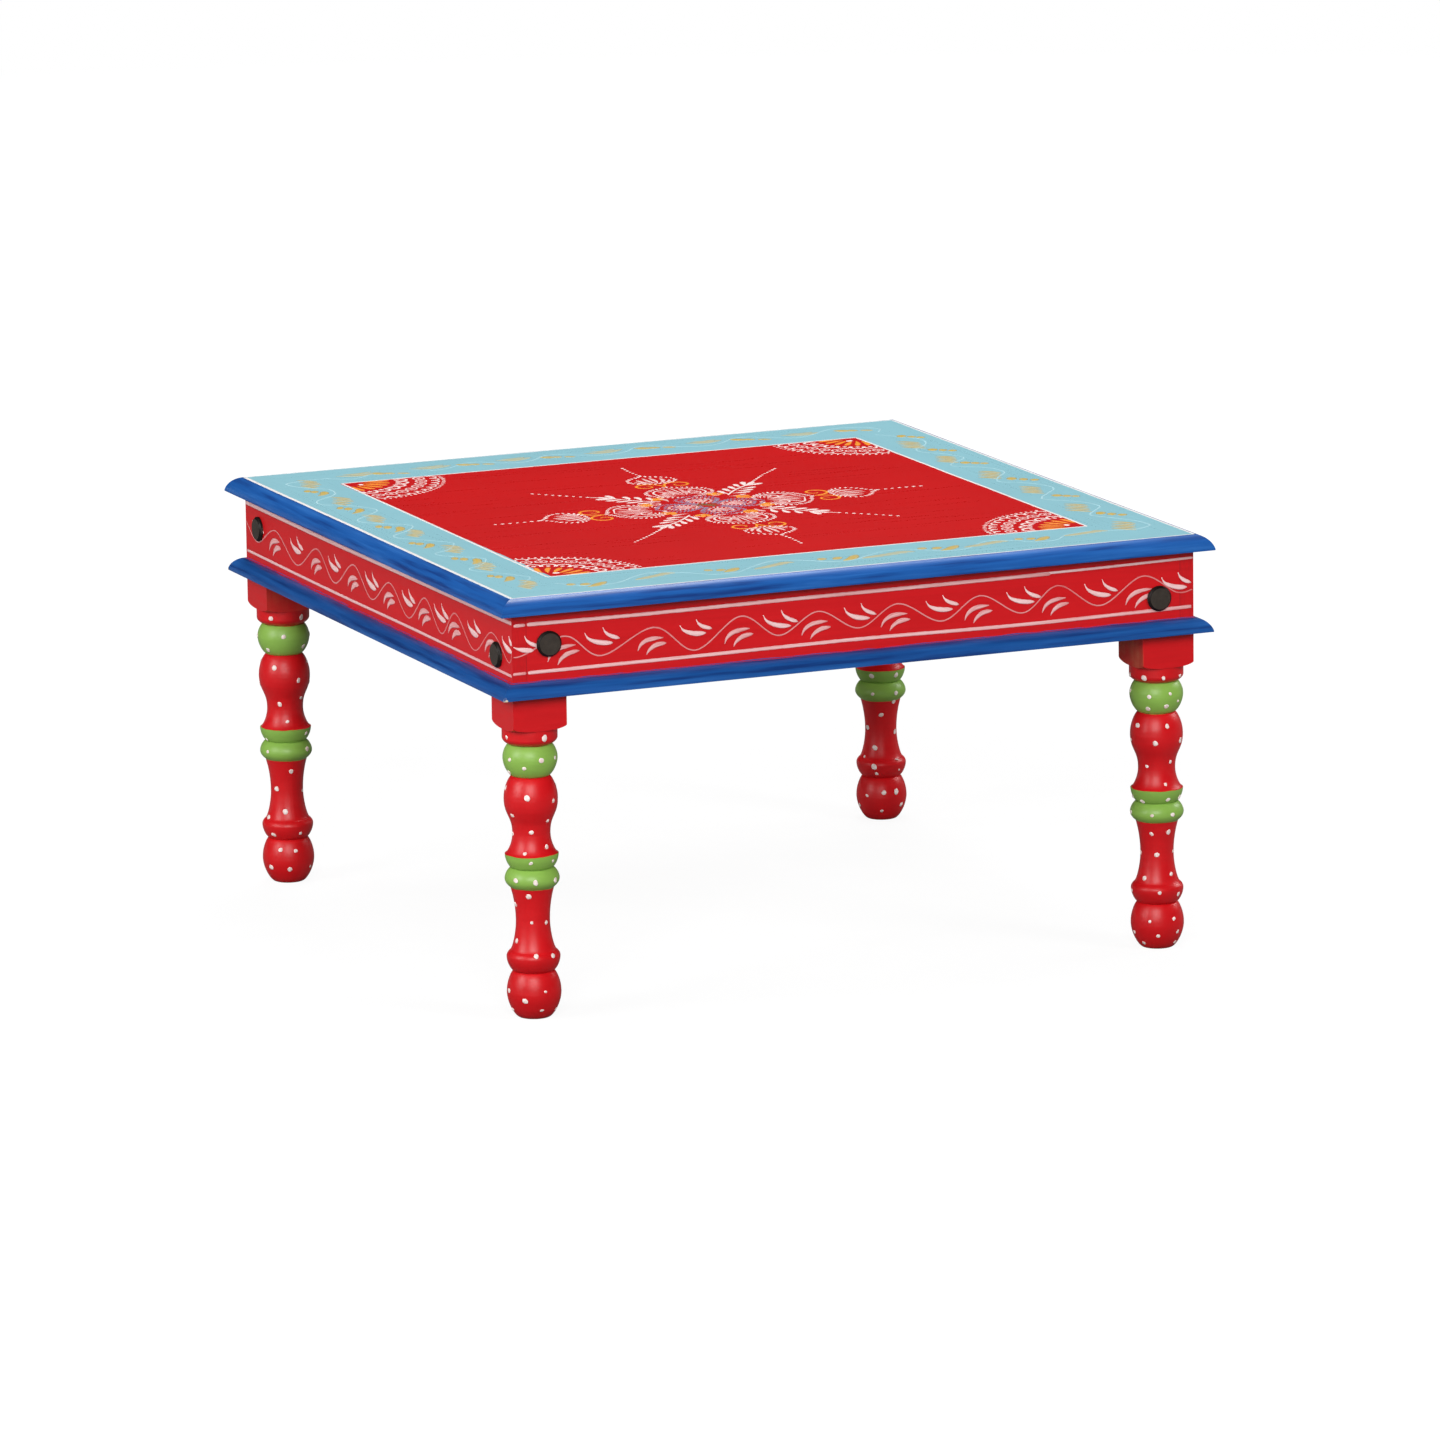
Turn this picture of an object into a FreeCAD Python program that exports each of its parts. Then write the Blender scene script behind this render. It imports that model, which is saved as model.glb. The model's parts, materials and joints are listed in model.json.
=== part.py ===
import FreeCAD, Part

import os
from math import cos, radians, sin, sqrt

# Low square table on four turned legs, with its top on an apron and a moulding under the apron.
# Millimetres. The origin is the middle of the square on the floor, +X right, +Y back, +Z up.

# Overall plan
TOP_SIDE = 600.0

# Top: four mitred edge boards round a centre panel, tongued into them
TOP_THICKNESS = 12.0
EDGE_BOARD_WIDTH = 75.0
TONGUE_LENGTH = 6.0
TONGUE_THICKNESS = 4.0
TONGUE_END_GAP = 0.5

# Rounded outer edge that the top and the lower moulding share
EDGE_RUN = 11.4
EDGE_LIP = 1.2
EDGE_BULGE = 2.2

# Apron: two long boards run through at the corners, two short ones stand between them
APRON_INSET = 13.0
APRON_HEIGHT = 54.0
BOARD_THICKNESS = 12.0

# Lower moulding: mitred strips under the apron
MOULDING_INSET = 1.0
MOULDING_HEIGHT = 11.0

# Leg block, rebated on its outer faces into a tenon that stands inside the apron's corner
BLOCK_SIDE = 44.0
BLOCK_HEIGHT = 28.0
POMMEL_RISE = 4.0

# Turned leg: the length and the radius of each element, from the floor up
FOOT_FLOOR_RADIUS = 11.5
FOOT_LOW_LENGTH = 20.0
FOOT_RADIUS = 21.0
FOOT_HIGH_LENGTH = 16.4
FOOT_GROOVE_RADIUS = 15.3
ANKLE_RISE_LENGTH = 11.3
ANKLE_RADIUS = 20.7
ANKLE_FALL_LENGTH = 4.3
ANKLE_EDGE_RADIUS = 18.4
SHAFT_LOW_LENGTH = 24.0
SHAFT_WAIST_RADIUS = 13.1
SHAFT_HIGH_LENGTH = 26.0
SHAFT_TOP_RADIUS = 16.8
LOW_RING_RISE_LENGTH = 6.6
LOW_RING_RADIUS = 21.1
LOW_RING_FALL_LENGTH = 8.7
RING_GROOVE_RADIUS = 15.8
HIGH_RING_RISE_LENGTH = 10.9
HIGH_RING_RADIUS = 20.7
VASE_COVE_LENGTH = 15.8
VASE_WAIST_RADIUS = 14.6
VASE_RISE_LENGTH = 27.5
VASE_RADIUS = 20.8
VASE_FALL_LENGTH = 17.6
NECK_RADIUS = 14.1
BULB_RISE_LENGTH = 14.3
BULB_RADIUS = 21.1
BULB_FALL_LENGTH = 10.7
COLLAR_GROOVE_RADIUS = 16.1
COLLAR_RISE_LENGTH = 5.1
COLLAR_RADIUS = 21.4
COLLAR_BAND_LENGTH = 7.6

# How far a curve of the turning holds its direction: shares of its length and of its change of radius
ALONG_SHARE = 0.5
SQUARE_SHARE = 0.3

# Leg bolts: one through each apron board, crossing at two heights inside the tenon
BOLT_RADIUS = 3.0
BOLT_HOLE_CLEARANCE = 0.3
BOLT_CROSSING = 11.0
BOLT_MIDDLE_DROP = 4.0
BOLT_OFF_MIDDLE = 2.0
BOLT_END_LENGTH = 3.0
HEAD_RADIUS = 10.0
HEAD_HEIGHT = 3.2
HEAD_CHAMFER = 1.6
WASHER_RADIUS = 8.0
WASHER_THICKNESS = 1.6
NUT_ACROSS_FLATS = 10.0
NUT_HEIGHT = 5.0
THREAD_CLEARANCE = 0.05

# Cleats inside the apron, under the top
CLEAT_SIDE = 16.0
SPANNER_ROOM = 18.0

# Wood screws through the cleats, into the top and into the apron
SCREW_RADIUS = 1.75
SCREW_HEAD_RADIUS = 3.5
SCREW_HEAD_HEIGHT = 2.2
SCREW_POINT_LENGTH = 3.0
SCREW_BITE = 8.0
SCREW_END_DISTANCE = 35.0
TOP_SCREWS_PER_CLEAT = 3
APRON_SCREWS_PER_CLEAT = 2

# Brads: at the apron's corners, set and filled over, and up through the moulding into the apron
BRAD_RADIUS = 0.8
BRAD_LENGTH = 30.0
BRAD_SETTING_DEPTH = 1.0
BRAD_EDGE_DISTANCE = 8.0
MOULDING_BRAD_END_DISTANCE = 60.0
MOULDING_BRADS_PER_SIDE = 4

# One overrun for every cut
OVERRUN = 5.0

# How a curve of the turning ends: along the leg, square to it, or free
ALONG = "along"
SQUARE = "square"
FREE = "free"

# Each curve of the turning, from the floor up: its length, the radius it ends at, how it leaves and arrives
TURNING = (
    (FOOT_LOW_LENGTH, FOOT_RADIUS, SQUARE, ALONG),
    (FOOT_HIGH_LENGTH, FOOT_GROOVE_RADIUS, ALONG, SQUARE),
    (ANKLE_RISE_LENGTH, ANKLE_RADIUS, SQUARE, ALONG),
    (ANKLE_FALL_LENGTH, ANKLE_EDGE_RADIUS, ALONG, FREE),
    (SHAFT_LOW_LENGTH, SHAFT_WAIST_RADIUS, SQUARE, ALONG),
    (SHAFT_HIGH_LENGTH, SHAFT_TOP_RADIUS, ALONG, FREE),
    (LOW_RING_RISE_LENGTH, LOW_RING_RADIUS, FREE, ALONG),
    (LOW_RING_FALL_LENGTH, RING_GROOVE_RADIUS, ALONG, SQUARE),
    (HIGH_RING_RISE_LENGTH, HIGH_RING_RADIUS, SQUARE, ALONG),
    (VASE_COVE_LENGTH, VASE_WAIST_RADIUS, SQUARE, ALONG),
    (VASE_RISE_LENGTH, VASE_RADIUS, ALONG, ALONG),
    (VASE_FALL_LENGTH, NECK_RADIUS, ALONG, SQUARE),
    (BULB_RISE_LENGTH, BULB_RADIUS, SQUARE, ALONG),
    (BULB_FALL_LENGTH, COLLAR_GROOVE_RADIUS, ALONG, SQUARE),
    (COLLAR_RISE_LENGTH, COLLAR_RADIUS, SQUARE, ALONG),
    (COLLAR_BAND_LENGTH, COLLAR_RADIUS, FREE, FREE),
)

# Heights above the floor
BLOCK_BOTTOM = sum(length for length, radius, leaves, arrives in TURNING)
MOULDING_BOTTOM = BLOCK_BOTTOM + BLOCK_HEIGHT
APRON_BOTTOM = MOULDING_BOTTOM + MOULDING_HEIGHT
TOP_BOTTOM = APRON_BOTTOM + APRON_HEIGHT
TOP_FACE = TOP_BOTTOM + TOP_THICKNESS
TONGUE_BOTTOM = TOP_BOTTOM + (TOP_THICKNESS - TONGUE_THICKNESS) / 2
TONGUE_TOP = TONGUE_BOTTOM + TONGUE_THICKNESS
CLEAT_BOTTOM = TOP_BOTTOM - CLEAT_SIDE
BOLT_MIDDLE = APRON_BOTTOM + APRON_HEIGHT / 2 - BOLT_MIDDLE_DROP
BOLT_HIGH = BOLT_MIDDLE + BOLT_CROSSING / 2
BOLT_LOW = BOLT_MIDDLE - BOLT_CROSSING / 2

# Distances from the middle of the table
TOP_TIP = TOP_SIDE / 2
PANEL_EDGE = TOP_TIP - EDGE_BOARD_WIDTH
TONGUE_END = PANEL_EDGE + TONGUE_LENGTH
MOULDING_TIP = TOP_TIP - MOULDING_INSET
APRON_FACE = TOP_TIP - APRON_INSET
APRON_BACK = APRON_FACE - BOARD_THICKNESS
APRON_MIDDLE = APRON_FACE - BOARD_THICKNESS / 2
BLOCK_BACK = APRON_FACE - BLOCK_SIDE
LEG_AXIS = APRON_FACE - BLOCK_SIDE / 2
BOLT_PLACE = (APRON_BACK + BLOCK_BACK) / 2 - BOLT_OFF_MIDDLE
CLEAT_BACK = APRON_BACK - CLEAT_SIDE
CLEAT_MIDDLE = APRON_BACK - CLEAT_SIDE / 2
CLEAT_END = BLOCK_BACK - SPANNER_ROOM
LAST_SCREW = CLEAT_END - SCREW_END_DISTANCE

# Directions, and the order of the sides and corners, each a quarter turn from the one before
ORIGIN = FreeCAD.Vector(0, 0, 0)
X_AXIS = FreeCAD.Vector(1, 0, 0)
Y_AXIS = FreeCAD.Vector(0, 1, 0)
Z_AXIS = FreeCAD.Vector(0, 0, 1)
SIDES = ("front", "right", "back", "left")
CORNERS = ("front_left", "front_right", "back_right", "back_left")


def box(low, high):
    """A box between two opposite corners."""
    size = [top - bottom for bottom, top in zip(low, high)]
    return Part.makeBox(*size, FreeCAD.Vector(*low))


def rod(radius, start, length, direction):
    """A round bar from a start point."""
    return Part.makeCylinder(radius, length, FreeCAD.Vector(*start), direction)


def turned(shape, quarter_turns):
    """A copy of a front or front left piece, turned to another side or corner."""
    copy = shape.copy()
    copy.rotate(ORIGIN, Z_AXIS, quarter_turns * 90)
    return copy


def all_round(pieces):
    """Copies of the front or front left pieces, on the four sides or corners."""
    return [turned(piece, turns) for turns in range(len(SIDES)) for piece in pieces]


def spread(count, end):
    """Places from -end to +end, evenly spaced."""
    step = 2 * end / (count - 1)
    return [index * step - end for index in range(count)]


def lines(corners):
    """Straight edges from each corner to the next."""
    return [Part.makeLine(start, end) for start, end in zip(corners, corners[1:])]


def mitred_strip(outline, tip):
    """A strip along the front, from an outline in the YZ plane, cut on the table's two diagonals."""
    face = Part.Face(Part.Wire(outline))
    face.translate(FreeCAD.Vector(-tip, 0, 0))
    strip = face.extrude(X_AXIS * (2 * tip))
    reach = tip + OVERRUN
    corners = [(0, 0, 0), (-reach, -reach, 0), (reach, -reach, 0), (0, 0, 0)]
    quadrant = Part.Face(Part.makePolygon([FreeCAD.Vector(*corner) for corner in corners]))
    return strip.common(quadrant.extrude(Z_AXIS * (TOP_FACE + OVERRUN)))


def rounded_edge(tip, bottom, top):
    """The lip and the round of a front edge, from its sharp tip up to its flat."""
    foot = FreeCAD.Vector(0, -tip, bottom)
    lip = FreeCAD.Vector(0, -tip, bottom + EDGE_LIP)
    crest = FreeCAD.Vector(0, EDGE_RUN - tip, top)
    outwards = (crest - lip).cross(X_AXIS).normalize() * -EDGE_BULGE
    middle = (lip + crest) / 2 + outwards
    return foot, crest, [Part.makeLine(foot, lip), Part.Arc(lip, middle, crest).toShape()]


def top_edge_board():
    """One mitred board of the top, grooved for the panel's tongue."""
    foot, crest, moulded = rounded_edge(TOP_TIP, TOP_BOTTOM, TOP_FACE)
    groove_end = TONGUE_END + TONGUE_END_GAP
    inner_corners = [
        (PANEL_EDGE, TOP_FACE),
        (PANEL_EDGE, TONGUE_TOP),
        (groove_end, TONGUE_TOP),
        (groove_end, TONGUE_BOTTOM),
        (PANEL_EDGE, TONGUE_BOTTOM),
        (PANEL_EDGE, TOP_BOTTOM),
    ]
    inner = [FreeCAD.Vector(0, -distance, height) for distance, height in inner_corners]
    board = mitred_strip(moulded + lines([crest] + inner + [foot]), TOP_TIP)
    return board.cut(top_screws())


def top_panel():
    """The centre panel, with a tongue all round."""
    body = box((-PANEL_EDGE, -PANEL_EDGE, TOP_BOTTOM), (PANEL_EDGE, PANEL_EDGE, TOP_FACE))
    tongue = box((-TONGUE_END, -TONGUE_END, TONGUE_BOTTOM), (TONGUE_END, TONGUE_END, TONGUE_TOP))
    return body.fuse(tongue).removeSplitter()


def lower_moulding():
    """One mitred strip of the lower moulding, which the apron stands on."""
    foot, crest, moulded = rounded_edge(MOULDING_TIP, MOULDING_BOTTOM, APRON_BOTTOM)
    inner = [FreeCAD.Vector(0, -APRON_BACK, height) for height in (APRON_BOTTOM, MOULDING_BOTTOM)]
    strip = mitred_strip(moulded + lines([crest] + inner + [foot]), MOULDING_TIP)
    return strip.cut(moulding_brads())


def apron_board(side):
    """The apron board on one side: left and right run through, front and back stand between."""
    end = APRON_FACE if SIDES[side] in ("left", "right") else APRON_BACK
    board = box((-end, -APRON_FACE, APRON_BOTTOM), (end, -APRON_BACK, TOP_BOTTOM))
    holes = all_round(bolt_holes() + moulding_brads() + apron_screws()) + corner_brads()
    return turned(board, side).cut(holes)


def cleat():
    """The front cleat, drilled for its screws."""
    bar = box((-CLEAT_END, -APRON_BACK, CLEAT_BOTTOM), (CLEAT_END, -CLEAT_BACK, TOP_BOTTOM))
    return bar.cut(top_screws() + apron_screws())


def turning_curve(start, end, leaves, arrives):
    """One curve of the turning, between two points given as radius and height."""
    run = end[0] - start[0]
    rise = end[1] - start[1]
    handle = {ALONG: (0, rise * ALONG_SHARE), SQUARE: (run * SQUARE_SHARE, 0)}
    points = [start]
    if leaves in handle:
        points.append((start[0] + handle[leaves][0], start[1] + handle[leaves][1]))
    if arrives in handle:
        points.append((end[0] - handle[arrives][0], end[1] - handle[arrives][1]))
    points.append(end)
    curve = Part.BezierCurve()
    curve.setPoles([FreeCAD.Vector(radius, 0, height) for radius, height in points])
    return curve.toShape()


def revolved(edges):
    """A round solid on the front left leg's axis, from the outline of its side."""
    top = edges[-1].Vertexes[-1].Point
    bottom = edges[0].Vertexes[0].Point
    axis_points = [FreeCAD.Vector(0, 0, top.z), FreeCAD.Vector(0, 0, bottom.z)]
    face = Part.Face(Part.Wire(edges + lines([top] + axis_points + [bottom])))
    solid = face.revolve(ORIGIN, Z_AXIS, 360)
    solid.translate(FreeCAD.Vector(-LEG_AXIS, -LEG_AXIS, 0))
    return solid


def turned_part():
    """The round part of the front left leg."""
    edges = []
    point = (FOOT_FLOOR_RADIUS, 0)
    for length, radius, leaves, arrives in TURNING:
        following = (radius, point[1] + length)
        edges.append(turning_curve(point, following, leaves, arrives))
        point = following
    return revolved(edges)


def leg_block():
    """The square block of the front left leg, its lower corners rounded on the lathe."""
    block = box((-APRON_FACE, -APRON_FACE, BLOCK_BOTTOM), (-BLOCK_BACK, -BLOCK_BACK, MOULDING_BOTTOM))
    corner_radius = BLOCK_SIDE / sqrt(2)
    round_start = (BLOCK_SIDE / 2, BLOCK_BOTTOM)
    round_end = (corner_radius, BLOCK_BOTTOM + POMMEL_RISE)
    block_top = (corner_radius, MOULDING_BOTTOM)
    pommel = turning_curve(round_start, round_end, SQUARE, ALONG)
    return block.common(revolved([pommel, turning_curve(round_end, block_top, FREE, FREE)]))


def leg():
    """The front left leg: turned part, block, and the tenon inside the apron's corner."""
    tenon = box((-APRON_BACK, -APRON_BACK, MOULDING_BOTTOM), (-BLOCK_BACK, -BLOCK_BACK, TOP_BOTTOM))
    return turned_part().fuse([leg_block(), tenon]).removeSplitter().cut(bolt_holes())


def bolt_seats():
    """Where the front left corner's two bolt heads sit, and which way each bolt runs."""
    along_y = (FreeCAD.Vector(-BOLT_PLACE, -APRON_FACE, BOLT_HIGH), Y_AXIS)
    along_x = (FreeCAD.Vector(-APRON_FACE, -BOLT_PLACE, BOLT_LOW), X_AXIS)
    return along_y, along_x


def bolt_holes():
    """The front left corner's two crossing holes, through the apron and the tenon."""
    radius = BOLT_RADIUS + BOLT_HOLE_CLEARANCE
    length = BLOCK_SIDE + 2 * OVERRUN
    return [rod(radius, seat - direction * OVERRUN, length, direction) for seat, direction in bolt_seats()]


def bolt(seat, direction):
    """A bolt with a flat, chamfered head on the apron's face."""
    length = BLOCK_SIDE + WASHER_THICKNESS + NUT_HEIGHT + BOLT_END_LENGTH
    rim_height = HEAD_HEIGHT - HEAD_CHAMFER
    shank = rod(BOLT_RADIUS, seat, length, direction)
    rim = rod(HEAD_RADIUS, seat, rim_height, -direction)
    face_radius = HEAD_RADIUS - HEAD_CHAMFER
    face = Part.makeCone(HEAD_RADIUS, face_radius, HEAD_CHAMFER, seat - direction * rim_height, -direction)
    return shank.fuse([rim, face]).removeSplitter()


def washer(seat, direction):
    """The washer on the tenon's inner face."""
    start = seat + direction * BLOCK_SIDE
    disc = rod(WASHER_RADIUS, start, WASHER_THICKNESS, direction)
    return disc.cut(rod(BOLT_RADIUS + BOLT_HOLE_CLEARANCE, start, WASHER_THICKNESS, direction))


def nut(seat, direction):
    """The hexagon nut on the washer."""
    start = seat + direction * (BLOCK_SIDE + WASHER_THICKNESS)
    across = direction.cross(Z_AXIS)
    corner_radius = NUT_ACROSS_FLATS / sqrt(3)
    angles = [radians(60 * corner) for corner in range(7)]
    points = [start + (across * cos(angle) + Z_AXIS * sin(angle)) * corner_radius for angle in angles]
    hexagon = Part.Face(Part.makePolygon(points)).extrude(direction * NUT_HEIGHT)
    return hexagon.cut(rod(BOLT_RADIUS + THREAD_CLEARANCE, start, NUT_HEIGHT, direction))


def wood_screw(head, direction):
    """A countersunk wood screw through a cleat, from the flat of its head."""
    length = CLEAT_SIDE + SCREW_BITE
    shank_length = length - SCREW_HEAD_HEIGHT - SCREW_POINT_LENGTH
    neck = head + direction * SCREW_HEAD_HEIGHT
    point = neck + direction * shank_length
    cone = Part.makeCone(SCREW_HEAD_RADIUS, SCREW_RADIUS, SCREW_HEAD_HEIGHT, head, direction)
    tip = Part.makeCone(SCREW_RADIUS, 0, SCREW_POINT_LENGTH, point, direction)
    return cone.fuse([rod(SCREW_RADIUS, neck, shank_length, direction), tip]).removeSplitter()


def top_screws():
    """The screws up through the front cleat into the top."""
    places = spread(TOP_SCREWS_PER_CLEAT, LAST_SCREW)
    heads = [FreeCAD.Vector(place, -CLEAT_MIDDLE, CLEAT_BOTTOM) for place in places]
    return [wood_screw(head, Z_AXIS) for head in heads]


def apron_screws():
    """The screws out through the front cleat into the apron, between the ones into the top."""
    places = spread(APRON_SCREWS_PER_CLEAT, LAST_SCREW / 2)
    height = TOP_BOTTOM - CLEAT_SIDE / 2
    heads = [FreeCAD.Vector(place, -CLEAT_BACK, height) for place in places]
    return [wood_screw(head, -Y_AXIS) for head in heads]


def corner_brads():
    """The brads through the long apron boards into the ends of the short ones."""
    head = APRON_FACE - BRAD_SETTING_DEPTH
    heights = (APRON_BOTTOM + BRAD_EDGE_DISTANCE, TOP_BOTTOM - BRAD_EDGE_DISTANCE)
    left = [rod(BRAD_RADIUS, (-head, -APRON_MIDDLE, height), BRAD_LENGTH, X_AXIS) for height in heights]
    right = [rod(BRAD_RADIUS, (head, -APRON_MIDDLE, height), BRAD_LENGTH, -X_AXIS) for height in heights]
    return left + right + [turned(brad, 2) for brad in left + right]


def moulding_brads():
    """The brads up through the front moulding into the apron."""
    places = spread(MOULDING_BRADS_PER_SIDE, APRON_BACK - MOULDING_BRAD_END_DISTANCE)
    starts = [(place, -APRON_MIDDLE, MOULDING_BOTTOM) for place in places]
    return [rod(BRAD_RADIUS, start, BRAD_LENGTH, Z_AXIS) for start in starts]


def table():
    """Every sub-part by name. A group of alike fasteners is one compound of separate solids."""
    nodes = {"top_panel": top_panel()}
    for turns, side in enumerate(SIDES):
        nodes["top_edge_board_" + side] = turned(top_edge_board(), turns)
        nodes["lower_moulding_" + side] = turned(lower_moulding(), turns)
        nodes["apron_" + side] = apron_board(turns)
        nodes["cleat_" + side] = turned(cleat(), turns)
    for turns, corner in enumerate(CORNERS):
        nodes["leg_" + corner] = turned(leg(), turns)
        for name, maker in (("leg_bolts_", bolt), ("leg_washers_", washer), ("leg_nuts_", nut)):
            pair = Part.makeCompound([maker(*seat) for seat in bolt_seats()])
            nodes[name + corner] = turned(pair, turns)
    nodes["top_screws"] = Part.makeCompound(all_round(top_screws()))
    nodes["apron_screws"] = Part.makeCompound(all_round(apron_screws()))
    nodes["apron_corner_brads"] = Part.makeCompound(corner_brads())
    nodes["moulding_brads"] = Part.makeCompound(all_round(moulding_brads()))
    return nodes


os.makedirs("parts", exist_ok=True)
for name, shape in table().items():
    shape.exportStep("parts/" + name + ".step")
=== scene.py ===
import json
import math

import bpy
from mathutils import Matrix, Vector

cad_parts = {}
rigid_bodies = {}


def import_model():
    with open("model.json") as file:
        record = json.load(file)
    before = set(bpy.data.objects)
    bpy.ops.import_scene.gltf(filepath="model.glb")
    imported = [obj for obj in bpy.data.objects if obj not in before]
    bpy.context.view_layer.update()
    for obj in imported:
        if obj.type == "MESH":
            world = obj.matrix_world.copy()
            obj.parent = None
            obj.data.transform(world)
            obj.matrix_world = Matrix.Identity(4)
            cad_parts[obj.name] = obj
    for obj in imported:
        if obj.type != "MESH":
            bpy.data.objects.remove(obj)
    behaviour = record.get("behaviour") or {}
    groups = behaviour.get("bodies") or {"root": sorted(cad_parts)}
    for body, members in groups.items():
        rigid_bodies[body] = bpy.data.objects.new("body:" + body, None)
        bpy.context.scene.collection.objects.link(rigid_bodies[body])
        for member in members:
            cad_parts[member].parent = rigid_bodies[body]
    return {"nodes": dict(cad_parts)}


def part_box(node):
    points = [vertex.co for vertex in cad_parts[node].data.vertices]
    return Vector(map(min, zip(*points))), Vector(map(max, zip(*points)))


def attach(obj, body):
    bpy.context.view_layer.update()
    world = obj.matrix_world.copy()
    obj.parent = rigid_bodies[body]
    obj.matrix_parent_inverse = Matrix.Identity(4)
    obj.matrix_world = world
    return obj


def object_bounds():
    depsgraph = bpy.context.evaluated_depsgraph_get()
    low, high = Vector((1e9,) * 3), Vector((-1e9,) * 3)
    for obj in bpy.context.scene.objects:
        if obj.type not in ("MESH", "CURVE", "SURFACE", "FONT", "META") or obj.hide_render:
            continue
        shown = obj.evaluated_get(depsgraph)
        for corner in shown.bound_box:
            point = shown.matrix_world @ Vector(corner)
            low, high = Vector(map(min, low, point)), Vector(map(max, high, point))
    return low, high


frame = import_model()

bl_info = {
    "name": "Bajot Low Table",
    "version": (1, 0, 0),
    "blender": (4, 5, 0),
    "location": "3D View > Sidebar > Bajot",
    "description": "Paint, brushed ornament and stage for a low table on turned legs",
    "category": "Object",
}

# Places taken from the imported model, in metres

MM = 0.001
CAD_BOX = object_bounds()
SIDES = ("front", "right", "back", "left")
CORNERS = ("front_left", "front_right", "back_right", "back_left")
TOP_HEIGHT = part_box("top_panel")[1].z
TOP_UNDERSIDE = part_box("top_panel")[0].z
TOP_REACH = CAD_BOX[1].x
APRON_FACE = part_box("apron_right")[1].x
APRON_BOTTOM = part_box("apron_front")[0].z
BOARD = 12 * MM
LEG_INNER_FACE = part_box("leg_back_right")[0].x
LEG_AXIS = (LEG_INNER_FACE + APRON_FACE) / 2
FLAT_EDGE = max(v.co.x
                for v in frame["nodes"]["top_edge_board_right"].data.vertices if v.co.z > TOP_HEIGHT - 1e-5)

# The red field of the top is painted by hand and isn't quite square: left, right, front and back edge.
FIELD = (-0.2275, 0.2262, -0.2185, 0.2237)

# Heights between which the turning is green.
GREEN_BANDS = ((0.1020, 0.1282), (0.1891, 0.2141))

# Heights between which the wash of a leg's square block begins.
BLOCK_BOTTOM = (0.2262, 0.2270)

# Distance between the points of a brushed stroke.
STROKE_STEP = 1.6 * MM

# Distance of the dots' anchors from the leg's axis.
DOT_ANCHOR_REACH = 0.04


def linear(red, green, blue):
    """Turns a colour as seen on a screen, 0 to 255, into the linear values that Blender's sockets take."""
    shares = (value / 255 for value in (red, green, blue))
    return tuple(s / 12.92 if s <= 0.04045 else ((s + 0.055) / 1.055) ** 2.4 for s in shares)


def colour_property(name, description, red, green, blue):
    """A colour to set in the panel, given as seen on a screen."""
    return bpy.props.FloatVectorProperty(name=name, description=description, subtype="COLOR", size=3,
                                         min=0.0, max=1.0, default=linear(red, green, blue))


def length_property(name, description, millimetres, most=50.0):
    """A length to set in the panel, given in millimetres."""
    return bpy.props.FloatProperty(name=name, description=description, subtype="DISTANCE", unit="LENGTH",
                                   min=0.0, max=most * MM, default=millimetres * MM, precision=5)


def share_property(name, description, share):
    """A share of 0 to 1 to set in the panel."""
    return bpy.props.FloatProperty(name=name, description=description, subtype="FACTOR", min=0.0, max=1.0,
                                   default=share)


def power_property(name, description, watts):
    """A lamp's power to set in the panel."""
    return bpy.props.FloatProperty(name=name, description=description, unit="POWER", min=0.0, max=1000.0,
                                   default=watts)


class BajotColours(bpy.types.PropertyGroup):
    top_red: colour_property("Top Red", "Paint of the field in the middle of the top", 204, 6, 11)
    body_red: colour_property("Body Red", "Paint of the apron and the legs", 203, 17, 24)
    light_blue: colour_property("Light Blue", "Paint of the border round the top", 145, 198, 210)
    royal_blue: colour_property("Royal Blue", "Paint of the rounded edges", 25, 84, 157)
    dark_blue: colour_property("Dark Blue", "Bands of the rounded edges where the brush left less paint",
                               14, 49, 114)
    bright_blue: colour_property("Bright Blue",
                                 "Bands of the rounded edges where the brush left more paint", 44, 105,
                                 179)
    green: colour_property("Green", "Paint of the bulb and the rings of the legs", 134, 176, 77)
    white: colour_property("White", "Paint of the lines and dots", 246, 234, 230)
    pink_white: colour_property("Pinkish White", "Thinned paint of the lines and leaves on the aprons",
                                250, 222, 221)
    border_white: colour_property("Border White", "Thin white of the vine on the light blue border", 214,
                                  236, 238)
    ochre: colour_property("Ochre", "Paint of the sprigs on the border", 200, 164, 50)
    orange: colour_property("Orange", "Paint of the scrolls and petals on the red field", 246, 158, 34)
    lilac: colour_property("Lilac", "Paint of the ring at the middle of the medallion", 126, 128, 158)
    leaf_green: colour_property("Leaf Green", "Paint of the heart of the medallion", 74, 92, 40)
    pale_wood: colour_property("Pale Wood", "Light wood where the boards are bare", 196, 150, 104)
    dark_wood: colour_property("Dark Wood", "Dark lines of the bare wood's grain", 148, 100, 62)
    iron: colour_property("Iron", "Blackened iron of the bolt heads", 70, 63, 57)
    zinc: colour_property("Zinc", "Zinc plating of the washers, nuts, screws and brads", 178, 180, 178)


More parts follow.
